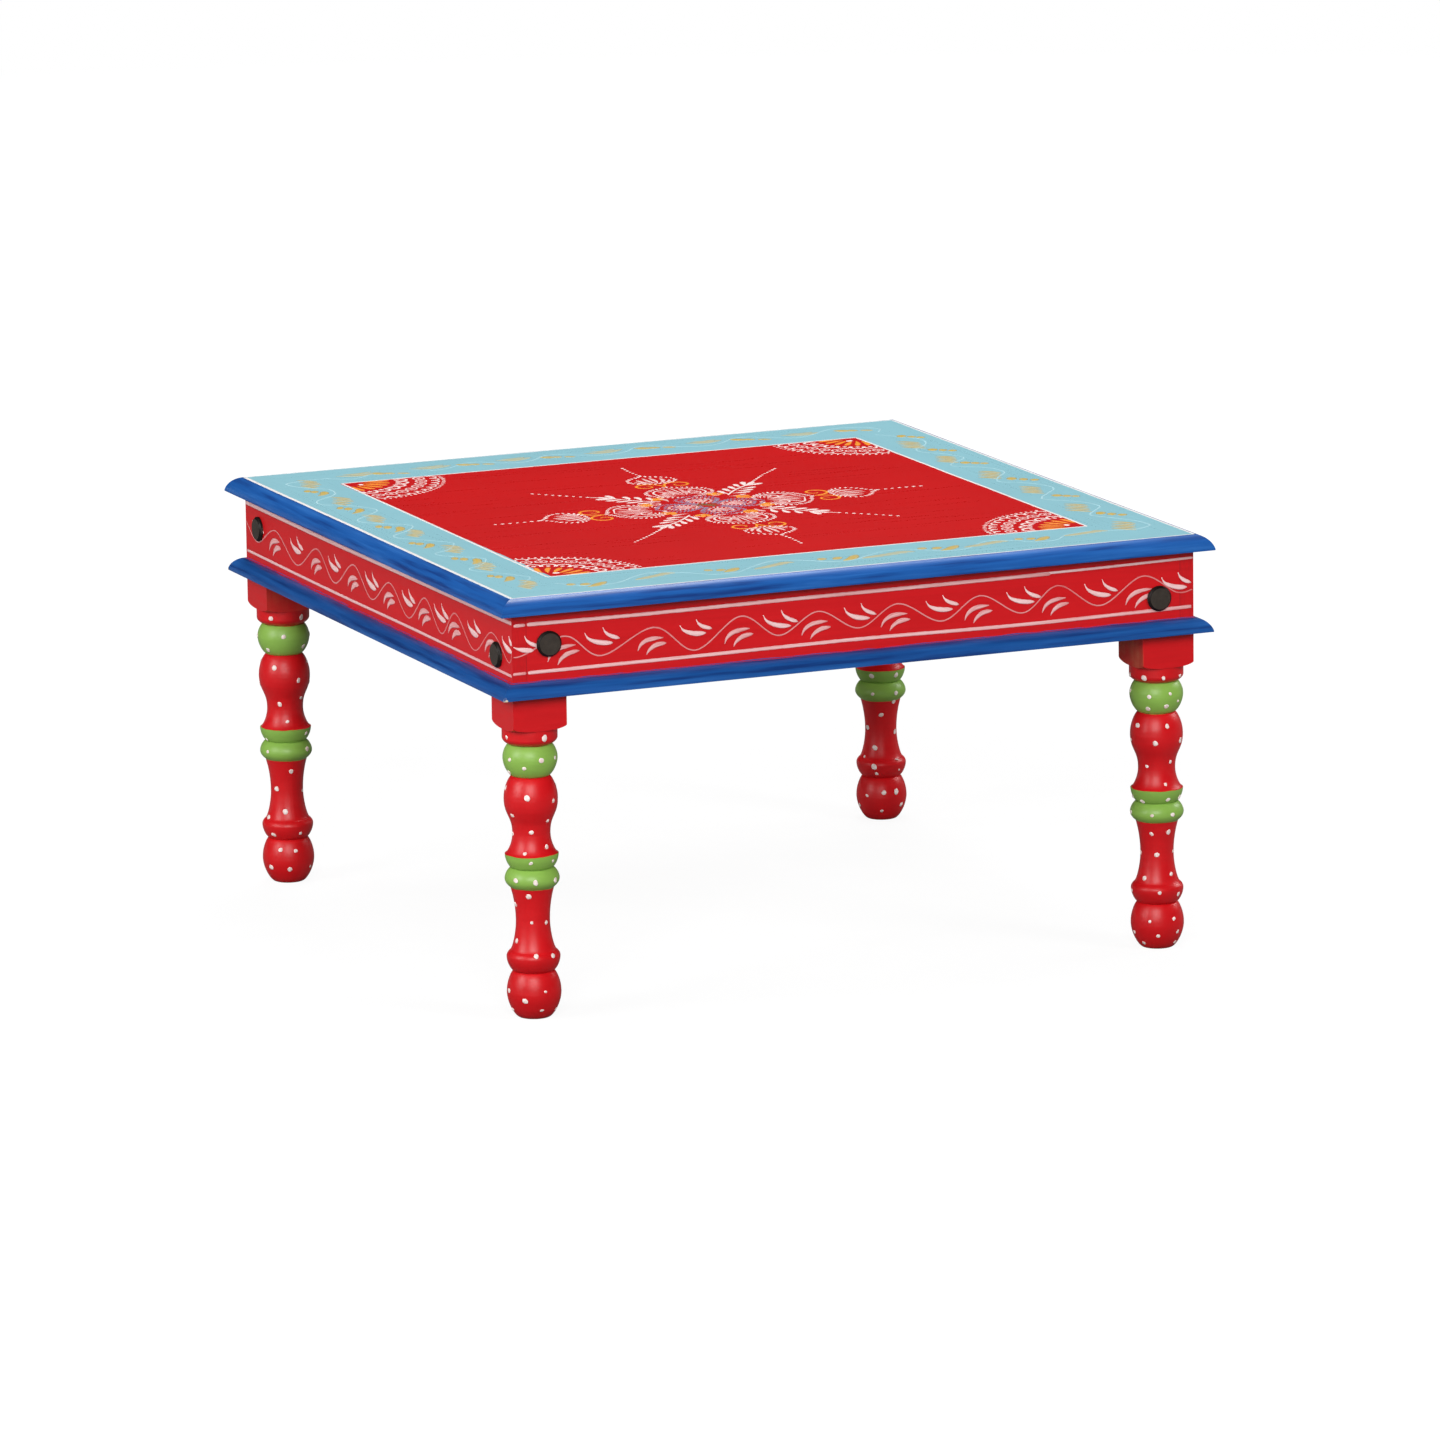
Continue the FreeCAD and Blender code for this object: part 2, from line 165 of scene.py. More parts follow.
class BajotOrnament(bpy.types.PropertyGroup):
    paint_height: share_property("Paint Height", "Height of a brush stroke as a share of its half width",
                                 0.055)
    hand_wobble: length_property("Hand Wobble", "How far the painter's hand strays from a drawn line",
                                 0.9, 10)
    looseness: share_property("Looseness", "How much copies of one motif differ in size and turn", 0.07)
    seed: bpy.props.IntProperty(name="Seed", description="Start of every random choice in the ornament",
                                default=7, min=0)
    pinstripe_width: length_property("Pinstripe Width", "Width of the white lines on the top", 2.3)
    apron_line_width: length_property("Apron Line Width", "Width of the lines along the aprons", 2.9)
    vine_width: length_property("Vine Width", "Width of the wavy vine on the aprons", 1.15)
    leg_dot_width: length_property("Leg Dot Width", "Width of the white dots on the legs", 3.7)
    leg_dot_height: length_property("Leg Dot Height", "How far a dot stands off the leg", 0.45)


class BajotStage(bpy.types.PropertyGroup):
    lens: bpy.props.FloatProperty(name="Lens", description="Focal length of the camera",
                                  subtype="DISTANCE_CAMERA", default=245.0, min=20.0, max=500.0)
    left_power: power_property("Left Light", "Power of the low soft lamp on the left", 52.0)
    right_power: power_property("Right Light", "Power of the soft lamp on the right", 34.0)
    corner_power: power_property("Corner Light", "Power of the narrow lamp in front on the right", 46.0)
    front_power: power_property("Front Light", "Power of the large soft lamp in front", 102.0)
    back_power: power_property("Back Light", "Power of the soft lamp behind on the left", 30.0)
    high_power: power_property("High Light",
                               "Power of the soft lamp above, which brings out the rounded edges", 50.0)
    surround: bpy.props.FloatProperty(name="Surround",
                                      description="Strength of the even light from all round",
                                      default=0.02, min=0.0, max=5.0)


# Nodes

def find_socket(sockets, key):
    """The socket of that number, or the one in use that has that name."""
    if isinstance(key, int):
        return sockets[key]
    return next(s for s in sockets if s.name == key and s.enabled)


def fill_socket(tree, socket, value):
    """Joins the socket to another node's output, or gives it a value; colours get their fourth number."""
    if isinstance(value, bpy.types.NodeSocket):
        tree.links.new(value, socket)
    elif socket.type == "RGBA":
        socket.default_value = (*value[:3], 1.0)
    else:
        socket.default_value = value


def add_node(tree, kind, inputs=None, **settings):
    """Adds a node, makes its settings, and joins or fills its inputs."""
    node = tree.nodes.new(kind)
    for name, value in settings.items():
        setattr(node, name, value)
    for key, value in (inputs or {}).items():
        fill_socket(tree, find_socket(node.inputs, key), value)
    return node


def out(node, key=0):
    """An output in use: the first one, or the one of that name."""
    if key == 0:
        return next(s for s in node.outputs if s.enabled)
    return find_socket(node.outputs, key)


def maths(tree, operation, first, second=0.0, third=0.0, clamp=False):
    """Reckons with up to three numbers, and holds what comes out to 0 to 1 if clamp is set."""
    node = add_node(tree, "ShaderNodeMath", {0: first, 1: second, 2: third}, operation=operation,
                    use_clamp=clamp)
    return node.outputs[0]


def vectors(tree, operation, first, second=(0.0, 0.0, 0.0), scale=None):
    """Reckons with two vectors, or for SCALE with a vector and a number."""
    inputs = {0: first, 3: scale} if operation == "SCALE" else {0: first, 1: second}
    return out(add_node(tree, "ShaderNodeVectorMath", inputs, operation=operation))


def split(tree, vector):
    """The three numbers of a vector, by the names X, Y and Z."""
    return add_node(tree, "ShaderNodeSeparateXYZ", {0: vector}).outputs


def combine(tree, **parts):
    """A vector made of the numbers X, Y and Z."""
    return out(add_node(tree, "ShaderNodeCombineXYZ", parts))


def noise(tree, place, scale, detail=2.0, roughness=0.5):
    """Smooth random values round 0.5."""
    inputs = {"Vector": place, "Scale": scale, "Detail": detail, "Roughness": roughness}
    return out(add_node(tree, "ShaderNodeTexNoise", inputs))


def spread(tree, value, low, high, start=0.0, end=1.0):
    """Turns low to high into start to end and holds what lies beyond."""
    inputs = {"Value": value, "From Min": low, "From Max": high, "To Min": start, "To Max": end}
    return out(add_node(tree, "ShaderNodeMapRange", inputs))


def up_to_face(tree, value, face):
    """1 up to a face at that distance and 0 beyond it, with slack so that rounding can't break it."""
    return spread(tree, value, face + 0.0006, face + 0.0003)


def mix_colours(tree, share, first, second):
    """The first colour where the share is 0 and the second where it is 1."""
    return out(add_node(tree, "ShaderNodeMix", {"Factor": share, "A": first, "B": second}, data_type="RGBA"))


def new_group(name, kind, sockets):
    """Makes an empty node group with those sockets, and gives its tree, its inputs by name and its exit."""
    tree = bpy.data.node_groups.new(name, kind)
    for direction, socket_kind, socket_name, default in sockets:
        socket = tree.interface.new_socket(name=socket_name, in_out=direction,
                                           socket_type="NodeSocket" + socket_kind)
        if default is not None:
            socket.default_value = default
    entry = tree.nodes.new("NodeGroupInput")
    leave = tree.nodes.new("NodeGroupOutput")
    return tree, {s.name: s for s in entry.outputs if s.name}, leave


def join(tree, leave, **results):
    """Joins the results to the group's outputs; an underscore in a name stands for a space."""
    for name, socket in results.items():
        tree.links.new(socket, leave.inputs[name.replace("_", " ")])


def use_group(tree, name, **inputs):
    """Places a node group in a material with its own values; an underscore in a name stands for a space."""
    named = {key.replace("_", " "): value for key, value in inputs.items()}
    return add_node(tree, "ShaderNodeGroup", named, node_tree=bpy.data.node_groups[name]).outputs


# Shader groups that several paints share

def make_board_place_group():
    """Turns a place into one that runs along the board it is on: along, across from the middle, height."""
    tree, inputs, leave = new_group("Board Place", "ShaderNodeTree", [
        ("INPUT", "Vector", "Place", None),
        ("OUTPUT", "Vector", "Board Place", None),
        ("OUTPUT", "Float", "Across", None),
    ])
    parts = split(tree, inputs["Place"])
    x_size = maths(tree, "ABSOLUTE", parts["X"])
    y_size = maths(tree, "ABSOLUTE", parts["Y"])
    across = maths(tree, "MAXIMUM", x_size, y_size)
    on_side_board = maths(tree, "GREATER_THAN", x_size, y_size)
    swing = maths(tree, "SUBTRACT", parts["Y"], parts["X"])
    along = maths(tree, "MULTIPLY_ADD", on_side_board, swing, parts["X"])
    join(tree, leave, Board_Place=combine(tree, X=along, Y=across, Z=parts["Z"]), Across=across)


def make_brushed_paint_group():
    """Satin paint with brush streaks, soft clouds and a fine skin."""
    tree, inputs, leave = new_group("Brushed Paint", "ShaderNodeTree", [
        ("INPUT", "Vector", "Place", None),
        ("INPUT", "Color", "Colour", None),
        ("INPUT", "Vector", "Streak Scale", (9.0, 260.0, 260.0)),
        ("INPUT", "Float", "Streaks", 0.10),
        ("INPUT", "Float", "Clouds", 0.08),
        ("INPUT", "Float", "Roughness", 0.4),
        ("INPUT", "Float", "Sheen Swing", 1.0),
        ("OUTPUT", "Color", "Colour", None),
        ("OUTPUT", "Float", "Roughness", None),
        ("OUTPUT", "Float", "Height", None),
    ])
    streaks = noise(tree, vectors(tree, "MULTIPLY", inputs["Place"], inputs["Streak Scale"]), 1.0, 4.0, 0.6)
    clouds = noise(tree, inputs["Place"], 13.0, 3.0)
    skin = noise(tree, inputs["Place"], 700.0, 2.0)
    streak_swing = maths(tree, "MULTIPLY_ADD", streaks, 2.0, -1.0)
    cloud_swing = maths(tree, "MULTIPLY_ADD", clouds, 2.0, -1.0)
    streak_shade = maths(tree, "MULTIPLY_ADD", streak_swing, inputs["Streaks"], 1.0)
    shade = maths(tree, "MULTIPLY_ADD", cloud_swing, inputs["Clouds"], streak_shade)
    colour = vectors(tree, "SCALE", inputs["Colour"], scale=shade)
    sheen = maths(tree, "MULTIPLY_ADD", streak_swing, 0.09, maths(tree, "MULTIPLY_ADD", skin, 0.10, -0.05))
    rough = maths(tree, "MULTIPLY_ADD", sheen, inputs["Sheen Swing"], inputs["Roughness"], clamp=True)
    height = maths(tree, "MULTIPLY_ADD", streaks, 1.0, maths(tree, "MULTIPLY", skin, 0.35))
    join(tree, leave, Colour=colour, Roughness=rough, Height=height)


def make_streaked_colour_group():
    """A colour with long dark and light bands along the brush's way, the first axis of the place."""
    tree, inputs, leave = new_group("Streaked Colour", "ShaderNodeTree", [
        ("INPUT", "Vector", "Place", None),
        ("INPUT", "Color", "Colour", None),
        ("INPUT", "Color", "Dark", None),
        ("INPUT", "Color", "Light", None),
        ("INPUT", "Float", "Amount", 0.8),
        ("OUTPUT", "Color", "Colour", None),
    ])
    bands = noise(tree, vectors(tree, "MULTIPLY", inputs["Place"], (9.0, 190.0, 190.0)), 1.0, 3.0, 0.55)
    dark = maths(tree, "MULTIPLY", spread(tree, bands, 0.50, 0.34), inputs["Amount"])
    light = maths(tree, "MULTIPLY", spread(tree, bands, 0.54, 0.72), inputs["Amount"])
    colour = mix_colours(tree, dark, inputs["Colour"], inputs["Dark"])
    join(tree, leave, Colour=mix_colours(tree, light, colour, inputs["Light"]))


def make_painted_edge_group():
    """A mask that turns from 0 to 1 where a distance passes 0, with the wobble of a brush."""
    tree, inputs, leave = new_group("Painted Edge", "ShaderNodeTree", [
        ("INPUT", "Vector", "Place", None),
        ("INPUT", "Float", "Distance", 0.0),
        ("INPUT", "Float", "Wobble", 0.0005),
        ("INPUT", "Float", "Reach", 60.0),
        ("OUTPUT", "Float", "Mask", None),
    ])
    swing = maths(tree, "MULTIPLY_ADD", noise(tree, inputs["Place"], inputs["Reach"], 3.0), 2.0, -1.0)
    moved = maths(tree, "MULTIPLY_ADD", swing, inputs["Wobble"], inputs["Distance"])
    join(tree, leave, Mask=spread(tree, moved, -0.00012, 0.00012))


def make_wood_grain_group():
    """Bare planed wood whose grain runs along the first axis of the place."""
    tree, inputs, leave = new_group("Wood Grain", "ShaderNodeTree", [
        ("INPUT", "Vector", "Place", None),
        ("INPUT", "Color", "Pale", None),
        ("INPUT", "Color", "Dark", None),
        ("OUTPUT", "Color", "Colour", None),
        ("OUTPUT", "Float", "Height", None),
    ])
    stretched = vectors(tree, "MULTIPLY", inputs["Place"], (5.0, 60.0, 60.0))
    bend = noise(tree, stretched, 0.6, 2.0)
    bent = vectors(tree, "ADD", stretched, vectors(tree, "SCALE", (0.0, 1.0, 1.0), scale=bend))
    rings = noise(tree, bent, 2.2, 5.0, 0.65)
    pores = noise(tree, vectors(tree, "MULTIPLY", inputs["Place"], (60.0, 1500.0, 1500.0)), 1.0, 2.0)
    share = maths(tree, "MULTIPLY_ADD", spread(tree, pores, 0.52, 0.72), 0.35, spread(tree, rings, 0.35, 0.7),
                  clamp=True)
    join(tree, leave, Colour=mix_colours(tree, share, inputs["Pale"], inputs["Dark"]),
         Height=maths(tree, "SUBTRACT", 1.0, share))


def make_brush_load_group():
    """How much paint a stroke has left: streaks along it, thin at its edges and where the brush ran dry."""
    tree, inputs, leave = new_group("Brush Load", "ShaderNodeTree", [
        ("INPUT", "Vector", "Place", None),
        ("INPUT", "Float", "Along", 0.5),
        ("INPUT", "Float", "Across", 0.0),
        ("INPUT", "Float", "Cover", 1.0),
        ("OUTPUT", "Float", "Mask", None),
        ("OUTPUT", "Float", "Streaks", None),
    ])
    own = vectors(tree, "SCALE", inputs["Place"], scale=25.0)
    stroke_place = combine(tree, X=maths(tree, "MULTIPLY", inputs["Along"], 1.4),
                           Y=maths(tree, "MULTIPLY", inputs["Across"], 3.2))
    streaks = noise(tree, vectors(tree, "ADD", stroke_place, own), 1.0, 3.0, 0.6)
    edge = maths(tree, "MULTIPLY", inputs["Across"], inputs["Across"])
    dry = maths(tree, "POWER", inputs["Along"], 3.0)
    load = maths(tree, "MULTIPLY_ADD", edge, -0.16, inputs["Cover"])
    load = maths(tree, "MULTIPLY_ADD", dry, -0.12, load)
    thin = maths(tree, "MULTIPLY_ADD", inputs["Cover"], -0.75, 1.0)
    swing = maths(tree, "MULTIPLY_ADD", streaks, 2.0, -1.0)
    load = maths(tree, "MULTIPLY_ADD", swing, thin, load, clamp=True)
    join(tree, leave, Mask=load, Streaks=streaks)


def make_rubbed_edge_group():
    """Small chips near an edge: nearness is 1 on the edge and falls to 0 away from it."""
    tree, inputs, leave = new_group("Rubbed Edge", "ShaderNodeTree", [
        ("INPUT", "Vector", "Place", None),
        ("INPUT", "Float", "Nearness", 0.0),
        ("INPUT", "Float", "Amount", 0.3),
        ("OUTPUT", "Float", "Mask", None),
    ])
    flakes = noise(tree, inputs["Place"], 160.0, 4.0, 0.6)
    worn = maths(tree, "MULTIPLY", inputs["Nearness"], inputs["Amount"])
    join(tree, leave, Mask=spread(tree, maths(tree, "ADD", flakes, worn), 0.88, 0.92))


# Materials

def start_material(name):
    """Makes a material with one Principled shader, and gives its tree, shader and place on the object."""
    material = bpy.data.materials.new(name)
    material.use_nodes = True
    tree = material.node_tree
    shader = next(n for n in tree.nodes if n.type == "BSDF_PRINCIPLED")
    shader.inputs["IOR"].default_value = 1.45
    place = add_node(tree, "ShaderNodeTexCoord").outputs["Object"]
    return material, tree, shader, place


def finish_material(tree, shader, colour, roughness, height, bump=0.0001):
    """Joins the colour, roughness and relief to the shader; bump is the relief's height in metres."""
    tree.links.new(colour, shader.inputs["Base Color"])
    tree.links.new(roughness, shader.inputs["Roughness"])
    node = add_node(tree, "ShaderNodeBump", {"Height": height, "Distance": bump, "Strength": 1.0})
    tree.links.new(out(node), shader.inputs["Normal"])


def paint_node(name, material):
    """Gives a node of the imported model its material."""
    for slot in frame["nodes"][name].material_slots:
        slot.material = material


def wash_of_wood(tree, place, grain_place, colours, red, cover):
    """Bare wood under a thin uneven wash of red."""
    wood = use_group(tree, "Wood Grain", Place=grain_place, Pale=colours.pale_wood, Dark=colours.dark_wood)
    patches = spread(tree, noise(tree, place, 38.0, 4.0, 0.6), 0.32, 0.68)
    share = maths(tree, "MULTIPLY_ADD", patches, 0.45, cover, clamp=True)
    return mix_colours(tree, share, wood["Colour"], red)


class BAJOT_OT_paint_top(bpy.types.Operator):
    """Paint the panel and the edge boards of the top: red field, light blue border, royal blue edge"""
    bl_idname = "bajot.paint_top"
    bl_label = "Paint the Top"

    def execute(self, context):
        colours = context.scene.bajot_colours
        material, tree, shader, place = start_material("painted_top")
        parts = split(tree, place)
        board = use_group(tree, "Board Place", Place=place)
        left = maths(tree, "SUBTRACT", FIELD[0], parts["X"])
        left = maths(tree, "MULTIPLY_ADD", parts["Y"], -0.006, left)
        right = maths(tree, "SUBTRACT", parts["X"], FIELD[1])
        front = maths(tree, "SUBTRACT", FIELD[2], parts["Y"])
        back = maths(tree, "SUBTRACT", parts["Y"], FIELD[3])
        beyond_field = maths(tree, "MAXIMUM", maths(tree, "MAXIMUM", left, right),
                             maths(tree, "MAXIMUM", front, back))
        on_border = use_group(tree, "Painted Edge", Place=place, Distance=beyond_field, Wobble=0.0007,
                              Reach=45.0)["Mask"]
        beyond_flat = maths(tree, "SUBTRACT", board["Across"], FLAT_EDGE - 0.0006)
        on_edge = use_group(tree, "Painted Edge", Place=place, Distance=beyond_flat, Wobble=0.0006,
                            Reach=70.0)["Mask"]
        below = maths(tree, "SUBTRACT", TOP_UNDERSIDE + 0.0006, parts["Z"])
        underneath = spread(tree, below, -0.0001, 0.0001)
        on_edge = maths(tree, "MAXIMUM", on_edge, underneath)
        colour = mix_colours(tree, on_border, colours.top_red, colours.light_blue)
        edge_blue = use_group(tree, "Streaked Colour", Place=board["Board Place"], Colour=colours.royal_blue,
                              Dark=colours.dark_blue, Light=colours.bright_blue, Amount=0.9)["Colour"]
        colour = mix_colours(tree, on_edge, colour, edge_blue)
        streak_place = mix_colours(tree, on_border, place, board["Board Place"])
        paint = use_group(tree, "Brushed Paint", Place=streak_place, Colour=colour,
                          Streak_Scale=(7.0, 170.0, 170.0), Streaks=0.04, Clouds=0.07, Roughness=0.28,
                          Sheen_Swing=0.2)
        inside = maths(tree, "MULTIPLY", underneath,
                       spread(tree, board["Across"], APRON_FACE, APRON_FACE - 0.001))
        wood = wash_of_wood(tree, place, place, colours, colours.top_red, 0.18)
        colour = mix_colours(tree, inside, paint["Colour"], wood)
        rough = maths(tree, "MULTIPLY_ADD", on_edge, 0.08, paint["Roughness"])
        rough = maths(tree, "MULTIPLY_ADD", inside, 0.25, rough)
        finish_material(tree, shader, colour, rough, paint["Height"], 0.00001)
        paint_node("top_panel", material)
        for side in SIDES:
            paint_node("top_edge_board_" + side, material)
        return {"FINISHED"}


def paint_apron_pair(colours, name, sides, shows_end_grain):
    """Paints two aprons red outside, with washed wood inside; the long ones show end grain at the corners."""
    material, tree, shader, place = start_material(name)
    parts = split(tree, place)
    board = use_group(tree, "Board Place", Place=place)
    drip = maths(tree, "SUBTRACT", APRON_BOTTOM + 0.0004, parts["Z"])
    on_blue = use_group(tree, "Painted Edge", Place=place, Distance=drip, Wobble=0.0009, Reach=55.0)["Mask"]
    colour = mix_colours(tree, on_blue, colours.body_red, colours.royal_blue)
    along_size = maths(tree, "ABSOLUTE", parts["Y"])
    end_face = maths(tree, "GREATER_THAN", along_size, APRON_FACE - 0.0002)
    end_face = maths(tree, "MULTIPLY", end_face, shows_end_grain)
    fibres = spread(tree, noise(tree, vectors(tree, "MULTIPLY", place, (900.0, 900.0, 120.0)), 1.0, 3.0),
                    0.4, 0.62)
    at_seam = spread(tree, maths(tree, "ABSOLUTE", parts["X"]), APRON_FACE - BOARD + 0.0008,
                     APRON_FACE - BOARD + 0.0002)
    soaked = maths(tree, "MULTIPLY_ADD", fibres, 0.14, maths(tree, "MULTIPLY_ADD", at_seam, 0.45, 0.04))
    soaked = maths(tree, "MULTIPLY", end_face, soaked)
    colour = mix_colours(tree, soaked, colour, linear(122, 18, 26))
    paint = use_group(tree, "Brushed Paint", Place=board["Board Place"], Colour=colour,
                      Streak_Scale=(8.0, 200.0, 230.0), Streaks=0.15, Clouds=0.08, Roughness=0.40)
    inside = up_to_face(tree, board["Across"], APRON_FACE - BOARD)
    wood = wash_of_wood(tree, place, board["Board Place"], colours, colours.body_red, 0.30)
    colour = mix_colours(tree, inside, paint["Colour"], wood)
    rough = maths(tree, "MULTIPLY_ADD", inside, 0.25, paint["Roughness"])
    height = maths(tree, "MULTIPLY_ADD", soaked, -1.0, paint["Height"])
    finish_material(tree, shader, colour, rough, height, 0.00006)
    for side in sides:
        paint_node("apron_" + side, material)


def paint_moulding(colours):
    """Paints the moulding in streaked blue darkened as painted shade, red where the apron's brush strayed,
    and chips its tips.
    """
    material, tree, shader, place = start_material("painted_moulding")
    board = use_group(tree, "Board Place", Place=place)
    parts = split(tree, place)
    near_apron = maths(tree, "SUBTRACT", APRON_FACE + 0.0012, board["Across"])
    on_red = use_group(tree, "Painted Edge", Place=place, Distance=near_apron, Wobble=0.0016,
                       Reach=40.0)["Mask"]
    on_red = maths(tree, "MULTIPLY", on_red,
                   spread(tree, parts["Z"], APRON_BOTTOM - 0.002, APRON_BOTTOM - 0.0015))
    streaked = use_group(tree, "Streaked Colour", Place=board["Board Place"], Colour=colours.royal_blue,
                         Dark=colours.dark_blue, Light=colours.bright_blue, Amount=0.8)["Colour"]
    # Painted shade: the same blue as the top's edge, made darker by a share, since the paint reads darker
    # down on the moulding.
    streaked = vectors(tree, "SCALE", streaked, scale=0.86)
    colour = mix_colours(tree, on_red, streaked, colours.body_red)
    paint = use_group(tree, "Brushed Paint", Place=board["Board Place"], Colour=colour,
                      Streak_Scale=(6.0, 260.0, 260.0), Streaks=0.16, Clouds=0.10, Roughness=0.36)
    tip = spread(tree,
                 maths(tree, "ADD", maths(tree, "ABSOLUTE", parts["X"]),
                       maths(tree, "ABSOLUTE", parts["Y"])),
                 2 * TOP_REACH - 0.016, 2 * TOP_REACH - 0.001)
    chips = use_group(tree, "Rubbed Edge", Place=place, Nearness=tip, Amount=0.42)["Mask"]
    colour = mix_colours(tree, chips, paint["Colour"], linear(214, 196, 170))
    rough = maths(tree, "MULTIPLY_ADD", chips, 0.3, paint["Roughness"])
    finish_material(tree, shader, colour, rough,
                    maths(tree, "MULTIPLY_ADD", chips, -1.0, paint["Height"]), 0.00008)
    for side in SIDES:
        paint_node("lower_moulding_" + side, material)


class BAJOT_OT_paint_aprons(bpy.types.Operator):
    """Paint the aprons red and the lower moulding royal blue, with bare wood on the inside"""
    bl_idname = "bajot.paint_aprons"
    bl_label = "Paint the Aprons and Moulding"

    def execute(self, context):
        colours = context.scene.bajot_colours
        paint_apron_pair(colours, "painted_apron", ("front", "back"), 0.0)
        paint_apron_pair(colours, "painted_apron_with_end_grain", ("left", "right"), 1.0)
        paint_moulding(colours)
        return {"FINISHED"}


class BAJOT_OT_paint_legs(bpy.types.Operator):
    """Paint the legs red with green bands, thin wash on the inner faces and bare end grain underneath"""
    bl_idname = "bajot.paint_legs"
    bl_label = "Paint the Legs"

    def execute(self, context):
        colours = context.scene.bajot_colours
        material, tree, shader, place = start_material("painted_leg")
        parts = split(tree, place)
        green = None
        for low, high in GREEN_BANDS:
            from_middle = maths(tree, "ABSOLUTE", maths(tree, "SUBTRACT", parts["Z"], (low + high) / 2))
            into_band = maths(tree, "SUBTRACT", (high - low) / 2, from_middle)
            band = use_group(tree, "Painted Edge", Place=place, Distance=into_band, Wobble=0.0011,
                             Reach=42.0)["Mask"]
            green = band if green is None else maths(tree, "MAXIMUM", green, band)
        colour = mix_colours(tree, green, colours.body_red, colours.green)
        paint = use_group(tree, "Brushed Paint", Place=place, Colour=colour, Streak_Scale=(40.0, 40.0, 300.0),
                          Streaks=0.09, Clouds=0.10, Roughness=0.38)
        x_size = maths(tree, "ABSOLUTE", parts["X"])
        y_size = maths(tree, "ABSOLUTE", parts["Y"])
        inner_x = up_to_face(tree, x_size, LEG_INNER_FACE)
        inner_y = up_to_face(tree, y_size, LEG_INNER_FACE)
        inner = maths(tree, "MAXIMUM", inner_x, maths(tree, "MULTIPLY", inner_y, 0.35))
        block = spread(tree, parts["Z"], *BLOCK_BOTTOM)
        inner = maths(tree, "MULTIPLY", inner, block)
        upright = combine(tree, X=parts["Z"], Y=parts["X"], Z=parts["Y"])
        wood = wash_of_wood(tree, place, upright, colours, colours.body_red, 0.62)
        foot = spread(tree, parts["Z"], 0.0008, 0.0003)
        colour = mix_colours(tree, inner, paint["Colour"], wood)
        colour = mix_colours(tree, foot, colour, colours.pale_wood)
        rough = maths(tree, "MULTIPLY_ADD", maths(tree, "MAXIMUM", inner, foot), 0.25, paint["Roughness"])
        finish_material(tree, shader, colour, rough, paint["Height"], 0.00007)
        for corner in CORNERS:
            paint_node("leg_" + corner, material)
        return {"FINISHED"}


def finish_metal(name, colour, rough, metal, side_shade, nodes):
    """Finishes nodes in mottled metal, with painted shade on the round sides: their brightness is given as a
    share of the flat faces'.
    """
    material, tree, shader, place = start_material(name)
    mottle = noise(tree, place, 260.0, 4.0, 0.6)
    pits = spread(tree, noise(tree, place, 1300.0, 3.0), 0.60, 0.72)
    facing = add_node(tree, "ShaderNodeNewGeometry").outputs["True Normal"]
    facing = split(tree, vectors(tree, "ABSOLUTE", facing))
    square_on = spread(tree, maths(tree, "MAXIMUM", facing["X"], facing["Y"]), 0.97, 0.98)
    shade = maths(tree, "MULTIPLY_ADD", mottle, 0.8, 0.6)
    # Painted shade: faces that don't look straight along X or Y, the round sides and chamfers, are darkened
    # by that share.
    shade = maths(tree, "MULTIPLY", shade, maths(tree, "MULTIPLY_ADD", square_on, 1.0 - side_shade, side_shade))
    body = vectors(tree, "SCALE", tuple(colour), scale=shade)
    body = mix_colours(tree, maths(tree, "MULTIPLY", pits, 0.5), body, linear(88, 62, 46))
    roughness = maths(tree, "MULTIPLY_ADD", mottle, 0.3, rough - 0.12)
    finish_material(tree, shader, body, roughness, maths(tree, "SUBTRACT", mottle, pits), 0.0001)
    shader.inputs["Metallic"].default_value = metal
    for node in nodes:
        paint_node(node, material)


class BAJOT_OT_finish_hardware(bpy.types.Operator):
    """Finish the bolt heads in blackened iron, the small fixings in zinc and the cleats in bare wood"""
    bl_idname = "bajot.finish_hardware"
    bl_label = "Finish Bolts, Fixings and Cleats"

    def execute(self, context):
        colours = context.scene.bajot_colours
        heads = ["leg_bolts_" + corner for corner in CORNERS]
        # The bolt heads' round sides get strong painted shade, the zinc fixings' only a little.
        finish_metal("blackened_iron", colours.iron, 0.48, 0.5, 0.15, heads)
        fixings = [kind + corner for kind in ("leg_washers_", "leg_nuts_") for corner in CORNERS]
        fixings += ["top_screws", "apron_screws", "apron_corner_brads", "moulding_brads"]
        finish_metal("zinc_plating", colours.zinc, 0.34, 0.95, 0.9, fixings)
        material, tree, shader, place = start_material("bare_wood")
        board = use_group(tree, "Board Place", Place=place)
        wood = use_group(tree, "Wood Grain", Place=board["Board Place"], Pale=colours.pale_wood,
                         Dark=colours.dark_wood)
        rough = maths(tree, "MULTIPLY_ADD", wood["Height"], 0.2, 0.5)
        finish_material(tree, shader, wood["Colour"], rough, wood["Height"], 0.00015)
        for side in SIDES:
            paint_node("cleat_" + side, material)
        return {"FINISHED"}


# Geometry Nodes for the brushed ornament

def attribute(tree, name, kind="FLOAT"):
    """What is stored on the points or lines under that name."""
    return out(add_node(tree, "GeometryNodeInputNamedAttribute", {"Name": name}, data_type=kind))


def store(tree, geometry, name, value, kind="FLOAT"):
    """Stores a value on the points under that name."""
    inputs = {"Geometry": geometry, "Name": name, "Value": value}
    return out(add_node(tree, "GeometryNodeStoreNamedAttribute", inputs, data_type=kind, domain="POINT"))


def position(tree):
    """Where each point is."""
    return out(add_node(tree, "GeometryNodeInputPosition"))


def rotation(tree, angles):
    """A turn by those three angles."""
    return out(add_node(tree, "FunctionNodeEulerToRotation", {"Euler": angles}))


